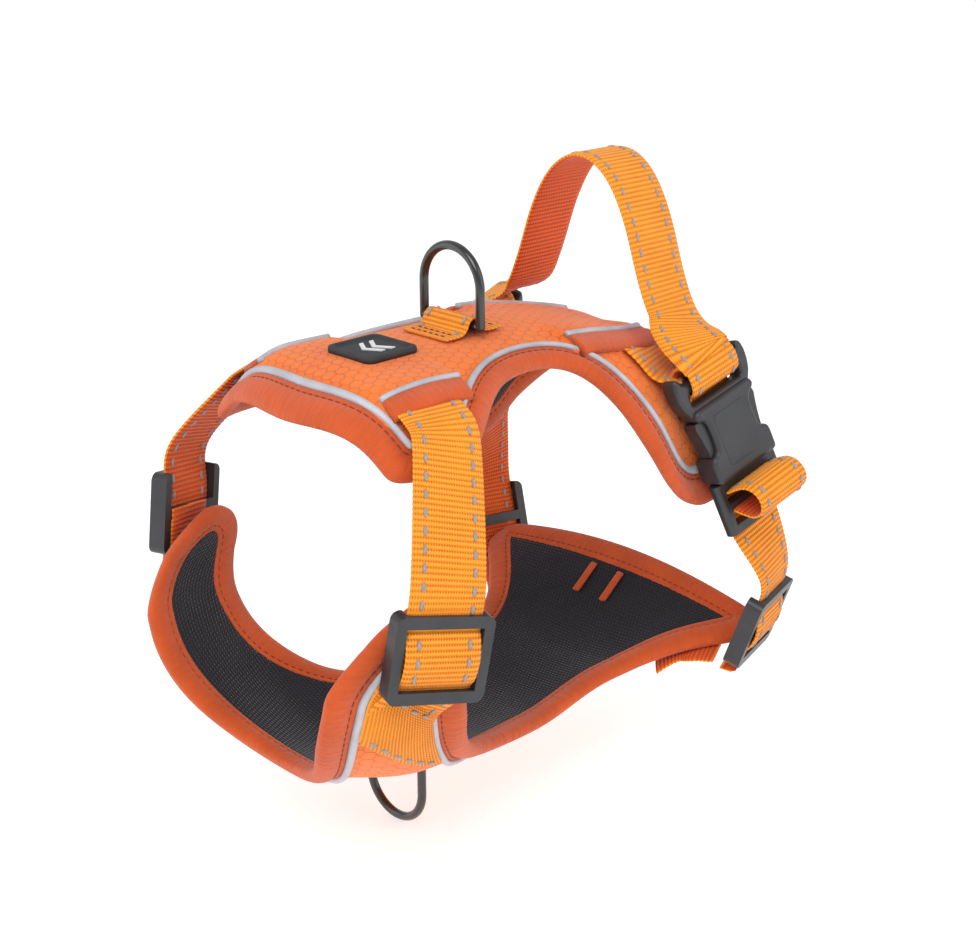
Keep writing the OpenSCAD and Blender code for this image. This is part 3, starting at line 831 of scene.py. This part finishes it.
def make_cover_edges():
    """Bound and piped edges of the centre cover, over the straps that come out from under it."""
    for name in COVER_LINES:
        for label, side in SIDES:
            line = resampled(cover_line(name, side), 1.2, False)
            node = f"pocket_edge_{name}_{label}"
            top = PANEL_T + COVER_RISE
            profile = ((-0.8, top - 2.4), (-0.9, top - 0.2), (0.2, top + 0.75), (2.4, top + 1.0), (5.0, top + 0.85),
                       (6.3, top + 0.35), (7.4, top + 0.5), (7.9, top - 0.2), (7.0, top - 1.2), (3.5, top - 1.6))
            profile = [(-side * m, h) for m, h in profile]
            edge = line_sweep(f"cover_binding_{name}_{label}", line, back_on, profile, ["binding"])
            settle(edge, "root", "binding_tape", node)
            cord = line_sweep(f"cover_piping_{name}_{label}", line, back_on,
                              round_profile(-side * 8.7, top + 0.15, PIPING_R), ["piping"])
            settle(cord, "root", "piping")


# ---------------------------------------------------------------- webbing

RIB_STEP = RIB_PITCH / 4
# Places across the arm of the chest band's middle line: at the neck edge, half way and at the armhole
BAND_S = (75, 68, 63)
BAND_W = 25.0
BAND_LENGTH = 42
STRAP_SIDE = 7


def path_frames(points, step, soften):
    """Even frames [centre, across, out] along a smooth path through control frames."""
    parts = [np.array([p[k] for p in points], float) for k in range(3)]
    dense = np.concatenate([catmull(p, np.linspace(0, 1, 24 * len(points))) for p in parts], axis=1)
    at = lengths(dense[:, :3])
    count = max(2, round(at[-1] / step))
    even = np.linspace(0, at[-1], count + 1)
    frames = np.stack([np.interp(even, at, dense[:, k]) for k in range(9)], axis=1)
    if soften:
        ends = smooth(np.minimum(even, even[-1] - even) / (3 * soften))[:, None]
        frames = mix(frames, blur(frames, soften / step, False), ends)
    c, a, o = np.split(frames, 3, axis=1)
    along = unit(np.gradient(c, axis=0))
    a = unit(a - along * (a * along).sum(axis=1, keepdims=True))
    normal = unit(np.cross(along, a))
    return c, a, normal * np.sign((normal * o).sum(axis=1, keepdims=True)), even


def webbing_profile(width):
    """Cross-section of a strap as [across, face, rounding], and the material of each of its sides: the inner side takes
    a darker copy of the webbing, which is painted shade.
    """
    spread = np.linspace(-1, 1, 2 * STRAP_SIDE + 1)
    rounding = 1 - 0.45 * np.abs(spread) ** 10
    profile = [(x * width / 2, 1, r) for x, r in zip(spread, rounding)] + [(width / 2 + 0.25, 0, 0)]
    profile += [(x * width / 2, -1, r) for x, r in zip(spread[::-1], rounding[::-1])] + [(-width / 2 - 0.25, 0, 0)]
    half = 2 * STRAP_SIDE + 2
    return profile, [1 if half - 1 <= j < 2 * half - 2 else 0 for j in range(2 * half)]


def webbing(name, points, body, nodes=(), width=WEBBING_W, thick=WEBBING_T, rows=DASH_ROWS, faces_with_dashes=(1,),
            ribs=RIB_HEIGHT, soften=0):
    """Woven strap along a path, with weft ribs in its mesh and rows of reflective stitches."""
    c, a, o, at = path_frames(points, RIB_STEP, soften)
    rib = ribs * np.cos(math.tau * at / RIB_PITCH)[:, None]
    profile, index = webbing_profile(width)
    grid = []
    for x, face, r in profile:
        height = face * r * (thick / 2 + rib)
        grid.append(c + a * (x + np.sign(x) * 0.5 * rib * (1 - r)) + o * height)
    grid = np.stack(grid, axis=1)
    across = np.array([x for x, _, _ in profile] + [profile[0][0]])
    # The inner face gets the darker copy of the webbing, as painted shade
    obj = tube(name, grid, False, ["webbing", "webbing_inner_painted_shade"], across, at, index)
    settle(obj, body, "webbing", *nodes)
    threads = Threads()
    for face in faces_with_dashes:
        for x in rows:
            line = c + a * x + o * face * (thick / 2 + 0.1)
            threads.along_line(line, o * face, DASH_PITCH, *DASH_SIZE)
    if threads.points:
        stitches = threads.build(f"{name}_stitches", "dash")
        settle(stitches, body, "webbing")
        return obj, stitches
    return obj, None


def rotation(angles):
    x, y, z = (math.radians(a) for a in angles)
    return np.array(Matrix.Rotation(z, 3, "Z") @ Matrix.Rotation(y, 3, "Y") @ Matrix.Rotation(x, 3, "X"))


class Place:
    """Place of hardware on the left side. Local +X points outwards, +Y to the tail and +Z up the strap."""

    def __init__(self, origin, angles):
        self.origin, self.turn = np.array(origin, float), rotation(angles)

    def point(self, p, side=1):
        return (self.origin + self.turn @ np.array(p, float)) * [side, 1, 1]

    def frame(self, p, side=1, out=(1, 0, 0)):
        return [self.point(p, side), self.turn @ np.array([0, 1, 0]) * [side, 1, 1],
                self.turn @ np.array(out, float) * [side, 1, 1]]

    def run(self, places, side):
        """Frames of a strap at places of [outwards, up], each with its own outward direction where given."""
        return [self.frame((x, 0, z), side, *out) for x, z, *out in places]


BUCKLE = Place((66, 81, -54), (16, -16, -8))
GIRTH_ADJUSTER = Place((71, 90, -116), (0, 18, 15))
NECK_ADJUSTER = Place((66, -70.5, -77), (-10, 0, -20))
NECK_RAISE = {1: 0.0, -1: 12.0}


def on_panel(on, s, y, h, side):
    p = on(s, y, h)
    frame_parts = p, unit(on(s, y + 1, h) - on(s, y - 1, h)), on(s, y, h + 1) - p
    return [v * [side, 1, 1] for v in frame_parts]


def panel_run(on, places, side):
    """Frames of a strap that lies over a panel at places of [s, y, h]."""
    return [on_panel(on, *place, side) for place in places]


def make_handle():
    """Lift handle: one strap from the left socket's bar over the arch to the right one's."""
    arch = ((0, 53), (7, 51.5), (14.5, 45.5), (20, 37), (24.5, 27), (28.5, 15), (33, 4), (38, -4))
    half = []
    for k, (x, z) in enumerate(arch):
        x0, z0 = arch[max(0, k - 1)]
        x1, z1 = arch[min(len(arch) - 1, k + 1)]
        out = np.array([-(z1 - z0), 0, x1 - x0]) if k else [0, 0, 1]
        half.append([np.array([x, 76, z]), np.array([0, 1, 0]), out])
    half += BUCKLE.run(((0.6, 49, (0.8, 0, 0.6)), (4.4, 43.5, (0.9, 0, 0.4))), 1)
    other = [[np.asarray(v) * [-1, 1, 1] for v in f] for f in reversed(half[1:])]
    strap, stitches = webbing("lift_handle", other + half, "root", ("handle_webbing",), soften=4)
    for piece in (strap, stitches):
        piece.parent = None
        piece.pop("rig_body", None)
        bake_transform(piece)


def make_wing_straps():
    """Webbing from under the cover, and the band folded round the socket's bar."""
    for label, side in SIDES:
        base = panel_run(back_on, ((26, 62, 5.2), (33, 63, 5.4), (39, 65, 5.6), (44, 67, 5.8)), side)
        base += BUCKLE.run(((-4.6, 36, (1, 0, 0.3)), (-4.4, 30)), side)
        webbing(f"wing_strap_{label}", base, "root", (f"wing_webbing_{label}",), soften=3)
        fold = (
            (-4.2, 33, (-1, 0, 0)), (-4.2, 38, (-1, 0, 0.2)), (-3.0, 42.4, (-0.7, 0, 0.7)),
            (0.2, 44.6, (-0.2, 0, 1)), (3.6, 44.0, (0.5, 0, 0.8)), (5.2, 41.2, (1, 0, 0.3)),
            (5.2, 37.6, (1, 0, -0.1)), (4.0, 34.8, (0.8, 0, -0.5)), (1.2, 33.4, (0.3, 0, -1)),
            (-2, 33, (0, 0, -1)),
        )
        around = BUCKLE.run(fold, side)
        webbing(f"handle_fold_{label}", around, "root", (f"handle_fold_{label}",), width=24, rows=(-9, 9))


def make_girth_straps():
    """Webbing that hangs from the plug: a loose roll, the stretch to the adjuster and the sewn end."""
    for label, side in SIDES:
        body = f"plug_{label}"
        loop = (
            (-3.6, -3.4, (-1, 0, 0)), (-2.0, -4.6, (-0.3, 0, 1)), (2, -4.4, (0, 0, 1)), (7, -3.0, (-0.3, 0, 1)),
            (12, -2.4, (0.1, 0, 1)), (16, -4.2, (0.8, 0, 0.7)), (17.6, -8.2, (1, 0, 0)),
            (15.8, -12.2, (0.7, 0, -0.8)), (11.4, -14.0, (0, 0, -1)), (6.6, -13.0, (-0.3, 0, -1)),
            (2, -11.4, (-0.2, 0, -1)), (-2, -11, (0, 0, -1)),
        )
        webbing(f"girth_fold_{label}", BUCKLE.run(loop, side), body, (f"girth_loop_{label}",), width=24.5,
                rows=(-9, 9))
        run = BUCKLE.run(((-3.7, -4), (-3.7, -20)), side)
        run += GIRTH_ADJUSTER.run(((0, 21), (0, 7), (0, -7), (-0.6, -15)), side)
        run.append(on_panel(chest_on, 64, 87, PANEL_T + 3, side))
        webbing(f"girth_strap_{label}", run, body, (f"girth_strap_{label}",), faces_with_dashes=(1, -1), soften=5)
        tail = ((60, 83, PANEL_T + 1.6), (54, 81, PANEL_T + 2.0), (46, 78, PANEL_T + 3.4), (37, 72, PANEL_T + 7))
        webbing(f"girth_tail_{label}", panel_run(chest_on, tail, side), "root", (f"girth_tail_{label}",), width=22)


def make_adjuster_bulge(name, place, raise_z, side, body):
    """Webbing that stands out over the middle bar of an adjuster."""
    bow = ((0.8, 11.2), (1.1, 9.6), (2.9, 6.2), (4.3, 1.5), (4.3, -2.5), (3.2, -6.6), (1.1, -9.6), (0.8, -11.2))
    webbing(name, place.run([(x, z + raise_z) for x, z in bow], side), body, thick=1.3)


def make_neck_straps():
    for label, side in SIDES:
        z0 = NECK_RAISE[side]
        run = panel_run(back_on, ((38.5, -46.6, 4.6), (42, -47, 5.2), (48, -47.6, 6.9), (56, -49.4, 7.7)), side)
        run += NECK_ADJUSTER.run(((0, 24 + z0), (0, 7 + z0), (0, -6), (-0.4, -12)), side)
        run += panel_run(chest_on, ((76, -76.5, 7.0), (68, -77, 5.9), (60, -77.5, 5.3)), side)
        webbing(f"neck_strap_{label}", run, "root", (f"neck_strap_{label}",), faces_with_dashes=(1, -1), soften=4)
        anchor = [NECK_ADJUSTER.frame((-2.6, -2, z), side) for z in (2 + z0, -6)]
        anchor += panel_run(chest_on, ((78, -78.4, 5.5), (70, -78.6, 5.0), (63, -78.6, 4.9)), side)
        webbing(f"neck_anchor_{label}", anchor, "root", (f"neck_anchor_{label}",), width=20.5, rows=(), soften=4)
        make_adjuster_bulge(f"neck_bulge_{label}", NECK_ADJUSTER, z0, side, f"neck_adjuster_{label}")
        make_adjuster_bulge(f"girth_bulge_{label}", GIRTH_ADJUSTER, 0, side, f"girth_adjuster_{label}")


def make_chest_bands():
    """Wide webbing band across each arm of the chest panel, with its ends under the two lines of piping."""
    ring = chest.ring(BINDING_W + 1.4)
    arm = ring[(ring[:, 0] > 40) & (ring[:, 1] < 62)]
    front, rear = (arm[keep][np.argsort(arm[keep][:, 0])] for keep in (arm[:, 1] < 17, arm[:, 1] > 17))
    t = np.linspace(0, 1, round(BAND_LENGTH / RIB_STEP))
    rib = RIB_HEIGHT * np.cos(math.tau * t * BAND_LENGTH / RIB_PITCH)
    lift = PANEL_T + 1.0 + 4.0 * np.sin(math.pi * t) ** 0.6

    def at(across, height, side):
        s = np.interp(t, [0, 0.5, 1], BAND_S) + across
        w = mix(np.interp(s, *front.T), np.interp(s, *rear.T), t)
        return chest.at(np.stack([s, w], axis=1), lift + height) * [side, 1, 1]

    profile, index = webbing_profile(BAND_W)
    across = np.array([x for x, _, _ in profile] + [profile[0][0]])
    for label, side in SIDES:
        grid = np.stack([at(x, face * r * (WEBBING_T / 2 + rib), side) for x, face, r in profile], axis=1)
        # The band's inner face gets the darker copy of the webbing, as painted shade
        materials = ["webbing", "webbing_inner_painted_shade"]
        band = tube(f"chest_band_{label}", grid, False, materials, across, t * BAND_LENGTH, index)
        settle(band, "root", "webbing", f"chest_band_{label}")
        threads = Threads()
        for x in (2.6 - BAND_W / 2, BAND_W / 2 - 2.6):
            line = at(x, WEBBING_T / 2 + 0.1, side)
            threads.along_line(line, at(x, WEBBING_T / 2 + 1.1, side) - line, DASH_PITCH, *DASH_SIZE)
        settle(threads.build(f"chest_band_{label}_stitches", "dash"), "root", "webbing")


def make_ring_keepers():
    """Webbing tabs sewn down in front of and behind each ring's bar."""
    hump = ((-5.2, 1.0), (-3.4, 2.6), (-2.1, 4.9), (0, 5.9), (2.1, 4.9), (3.4, 2.6), (5.2, 1.0))
    for label, on, y0, ends in (("back", back_on, 0.0, (-13.0, 13.0)), ("chest", chest_on, -30.0, (-25.0, 14.0))):
        front, rear = ends
        flat = [(y, 0.6) for y in np.linspace(front, -8, 5)], [(y, 0.6) for y in np.linspace(8, rear, 3)]
        points = []
        for y, h in (*flat[0], *hump, *flat[1]):
            p = on(0, y0 + y, PANEL_T + 0.25 + h)
            up = unit(on(0, y0 + y, 5) - on(0, y0 + y, 4))
            lean = np.array([0, y / 3.4, 0]) if abs(y) < 4 else 0
            points.append([p, np.array([1, 0, 0]), up + lean])
        webbing(f"{label}_ring_tab", points, "root", (f"{label}_ring_keeper",), width=22, thick=1.1,
                ribs=RIB_HEIGHT / 2)
        threads = Threads()
        for y in (front + 1.6, -8.2, 8.2, rear - 1.6):
            x = np.linspace(-10, 10, 30)
            line = on(0, y0 + y, PANEL_T + 1.5) + np.stack([x, 0 * x, 0 * x], axis=1)
            out = np.tile(unit(on(0, y0 + y, 5) - on(0, y0 + y, 4)), (30, 1))
            threads.along_line(line, out, *TAB_STITCH)
        settle(threads.build(f"{label}_ring_tab_stitches", "thread"), "root", "webbing")


def make_lining_slots():
    """Two bound slots in the chest lining."""
    bars = []
    for x in (-7.5, 6.5):
        y = np.linspace(75, 86, 14)
        a = np.linspace(0, math.tau, 10, endpoint=False)
        grid = np.stack([chest_on(x + 1.7 * np.cos(k), y, -1.0 + 0.5 * math.sin(k)) for k in a], axis=1)
        bars.append(tube(f"lining_slot_{len(bars) + 1}", grid, False, ["binding"]))
    for k, bar in enumerate(bars):
        settle(bar, "root", "binding_tape", *(("lining_slots",) if k == 0 else ()))


# ---------------------------------------------------------------- hardware


def make_patch():
    """Moulded rubber patch with a raised rim and a plain motif of two chevrons."""
    y0, z0, half, corner = -36.5, -0.2, 11.3, 3.0

    def loop(size, radius):
        points = []
        for k in range(4):
            centre = np.array([[1, 1], [-1, 1], [-1, -1], [1, -1]][k]) * (size - radius)
            for a in np.linspace(k * 90, k * 90 + 90, 8):
                points.append(centre + radius * np.array([math.cos(math.radians(a)), math.sin(math.radians(a))]))
        return np.array(points)

    profile = ((0, 0), (0, 1.5), (0.25, 2.0), (0.7, 2.2), (1.5, 2.2), (1.9, 1.95), (2.1, 1.5), (2.4, 1.35), (4.5, 1.35),
               (8.5, 1.4))
    rings = [np.column_stack([loop(half - m, max(0.4, corner - m * 0.6)), np.full(32, h)]) for m, h in profile]
    grid = np.stack(rings, axis=0) + [0, y0, z0]
    patch = tube("rubber_badge", grid, False, ["rubber"])
    settle(patch, "root", "rubber", "rubber_patch")
    mark = []
    for k in range(2):
        apex, spread, width = np.array([0, y0 - 4.6 + k * 4.4]), 5.6, 1.9
        left, right = apex + [-spread, 3.6], apex + [spread, 3.6]
        outline = [left, apex, right, right + [0, width], apex + [0, width], left + [0, width]]
        low = np.array([[*p, z0 + 1.2] for p in outline])
        high = np.array([[*p, z0 + 1.85] for p in outline])
        mark.append(np.stack([low, high], axis=0))
    for k, grid in enumerate(mark):
        piece = tube(f"badge_chevron_{k + 1}", grid, False, ["print"])
        for p in piece.data.polygons:
            p.use_smooth = False
        bevel(piece, 0.15)
        settle(piece, "root", "rubber")


# Half outlines of the socket as [across, along]: its hollow body with the side windows, and the horned end
SOCKET_BODY = (
    (0, 0), (14.2, 0), (15.2, 0.6), (15.5, 2), (15.5, 7.6), (15.2, 9.4), (13.9, 10.5), (12.2, 11), (11.1, 12.6),
    (10.8, 17.5), (11.1, 22.2), (12.2, 24), (14.0, 24.7), (15.1, 25.8), (15.4, 27.2), (14.4, 28.6), (12.6, 29), (0, 29),
)
SOCKET_END = (
    (0, 24), (13.6, 24), (15.0, 26.2), (16.0, 28.4), (17.6, 31), (18.5, 34.5), (18.7, 38.5), (18.0, 41.6), (16.6, 42.8),
    (15.2, 41.8), (14.6, 40.0), (13.2, 39.6), (0, 39.6),
)


def full_outline(half):
    """Closed outline with softly rounded corners from its half."""
    points = np.array([*half, *[(-u, v) for u, v in reversed(half) if u]], float)
    return blur(resampled(points, 0.4, True), 1.4, True)


def round_box(half_width, low, high, radius):
    """Outline of an upright rectangle with round corners."""
    corners = ((half_width, high, 0), (-half_width, high, 90), (-half_width, low, 180), (half_width, low, 270))
    points = []
    for u, v, turn in corners:
        a = np.radians(np.linspace(turn, turn + 90, 7))
        centre = [u - math.copysign(radius, u), v - radius if v == high else v + radius]
        points.append(centre + radius * np.stack([np.cos(a), np.sin(a)], axis=1))
    return np.concatenate(points)


def plate(outline, holes, half, rounding):
    """Mesh in millimetres of a flat moulding with rounded edges, as [across, along, depth]."""
    curve = bpy.data.curves.new("plate", "CURVE")
    curve.dimensions, curve.fill_mode = "2D", "BOTH"
    curve.extrude, curve.bevel_depth, curve.offset = half - rounding, rounding, -rounding
    curve.bevel_resolution = 3
    for loop in (outline, *holes):
        spline = curve.splines.new("POLY")
        spline.points.add(len(loop) - 1)
        spline.points.foreach_set("co", np.column_stack([loop, np.zeros(len(loop)), np.ones(len(loop))]).ravel())
        spline.use_cyclic_u = True
    maker = new_object("plate", curve)
    mesh = bpy.data.meshes.new_from_object(evaluated(maker))
    bpy.data.objects.remove(maker)
    bpy.data.curves.remove(curve)
    work = bmesh.new()
    work.from_mesh(mesh)
    bmesh.ops.remove_doubles(work, verts=work.verts, dist=1e-4)
    bmesh.ops.recalc_face_normals(work, faces=work.faces)
    work.to_mesh(mesh)
    work.free()
    return mesh


def hollowed(mesh, low, high):
    """The mesh with a box cut out of it."""
    corners = [(x, y, z) for x in (low[0], high[0]) for y in (low[1], high[1]) for z in (low[2], high[2])]
    sides = [(0, 1, 3, 2), (4, 6, 7, 5), (0, 4, 5, 1), (2, 3, 7, 6), (0, 2, 6, 4), (1, 5, 7, 3)]
    box = bpy.data.meshes.new("box")
    box.from_pydata(corners, [], sides)
    solid, cutter = new_object("solid", mesh), new_object("cutter", box)
    modifier = solid.modifiers.new("Cut", "BOOLEAN")
    modifier.operation, modifier.object, modifier.solver = "DIFFERENCE", cutter, "EXACT"
    result = bpy.data.meshes.new_from_object(evaluated(solid))
    for obj, old in ((solid, mesh), (cutter, box)):
        bpy.data.objects.remove(obj)
        bpy.data.meshes.remove(old)
    return result


def placed_plate(name, mesh, place, side, depth=0.0):
    """Object from a plate's mesh, standing in a hardware place."""
    points = np.array([place.point((v.co[2] + depth, v.co[0], v.co[1]), side) for v in mesh.vertices])
    faces = [tuple(f.vertices) if side > 0 else tuple(reversed(f.vertices)) for f in mesh.polygons]
    obj = add_mesh(name, points, faces, np.zeros((sum(len(f) for f in faces), 2)), ["plastic"])
    obj.data.set_sharp_from_angle(angle=math.radians(38))
    bpy.data.meshes.remove(mesh)
    return obj


def make_sockets():
    """Buckle sockets with their side windows, horned ends and the plain panel on their face."""
    for label, side in SIDES:
        body = hollowed(plate(full_outline(SOCKET_BODY), [], 5.5, 1.7), (-14, -2, -3.4), (14, 26, 3.4))
        settle(placed_plate(f"socket_body_{label}", body, BUCKLE, side), "root", "plastic", f"buckle_socket_{label}")
        slot = round_box(13.2, 30.4, 35.4, 1.2)[::-1]
        end = plate(full_outline(SOCKET_END), [slot], 3.6, 1.4)
        settle(placed_plate(f"socket_end_{label}", end, BUCKLE, side), "root", "plastic")
        panel = plate(round_box(8.4, 4.4, 24.4, 1.8), [], 0.35, 0.14)
        settle(placed_plate(f"socket_panel_{label}", panel, BUCKLE, side, 5.3), "root", "plastic")


def bevel(obj, width):
    modifier = obj.modifiers.new("Bevel", "BEVEL")
    modifier.width = width * MM
    modifier.segments = 2
    modifier.limit_method = "ANGLE"
    modifier.angle_limit = math.radians(30)
    modifier.harden_normals = False


HARDWARE_BEVEL = 0.75


def finish_hardware():
    """Materials and softened edges of the moulded and metal parts that keep their own shape."""
    for name, node in frame["nodes"].items():
        if name in ("back_ring", "chest_ring"):
            material, width = "enamel", 0
        elif name.startswith(("buckle_plug", "prong", "girth_adjuster", "neck_adjuster")):
            material, width = "plastic", HARDWARE_BEVEL
        else:
            continue
        node.data.materials.clear()
        node.data.materials.append(MATERIALS[material])
        for polygon in node.data.polygons:
            polygon.use_smooth = True
        if width:
            bevel(node, width)
            node.modifiers.new("Normals", "WEIGHTED_NORMAL")


# ---------------------------------------------------------------- scene


def make_floor():
    size = 12.0
    mesh = bpy.data.meshes.new("floor")
    z = cad_box[0][2] - 0.001
    mesh.from_pydata([(-size, -size, z), (size, -size, z), (size, size, z), (-size, size, z)], [], [(0, 1, 2, 3)])
    floor = new_object("floor", mesh)
    f = Finish("floor", Roughness=0.9, Specular_IOR_Level=0.1, Emission_Strength=0.55)
    f.shader.inputs["Emission Color"].default_value = (1, 1, 1, 1)
    f.paint(f.noise(40), (0.3, (0.72, 0.72, 0.72)), (0.7, (0.75, 0.75, 0.75)))
    mesh.materials.append(f.material)


def make_light(name, place, target, size, power):
    """White square lamp that faces its target."""
    data = bpy.data.lights.new(name, "AREA")
    data.shape = "RECTANGLE"
    data.size = data.size_y = size
    data.energy = power
    light = new_object(name, data)
    light.location = place
    light.rotation_mode = "QUATERNION"
    light.rotation_quaternion = (Vector(target) - Vector(place)).to_track_quat("-Z", "Y")


def make_studio():
    centre = (0, 0.01, -0.07)
    make_light("key", (0.35, -0.55, 0.75), centre, 0.6, 4.6)
    make_light("fill", (0.9, 0.35, 0.35), centre, 0.8, 2.4)
    make_light("front", (-0.6, -0.75, 0.25), centre, 0.7, 1.6)
    world = bpy.data.worlds.new("studio")
    world.use_nodes = True
    background = world.node_tree.nodes["Background"]
    background.inputs["Color"].default_value = (1, 1, 1, 1)
    background.inputs["Strength"].default_value = 0.7
    bpy.context.scene.world = world


def make_camera():
    """Camera at azimuth 45 and elevation 20 degrees."""
    bpy.context.scene.view_settings.view_transform = "Standard"
    data = bpy.data.cameras.new("camera")
    data.sensor_width = 36
    data.lens = 61.97
    data.clip_start = 0.01
    camera = new_object("camera", data)
    away = Vector((0.6645, -0.6645, 0.3420)).normalized()
    right = Vector((0.70711, 0.70711, 0))
    up = away.cross(right)
    place = Vector((0.40545, -0.38787, 0.15458))
    camera.matrix_world = Matrix((*zip(right, up, away, place), (0, 0, 0, 1)))
    bpy.context.scene.camera = camera


make_camera()
make_studio()
make_floor()
make_back_panel()
make_chest_panel()
make_edges("back", back, "back_binding", "back_piping")
make_edges("chest", chest, "chest_binding", "chest_piping")
make_cover_edges()
make_handle()
make_wing_straps()
make_girth_straps()
make_neck_straps()
make_chest_bands()
make_ring_keepers()
make_lining_slots()
make_patch()
make_sockets()
finish_hardware()
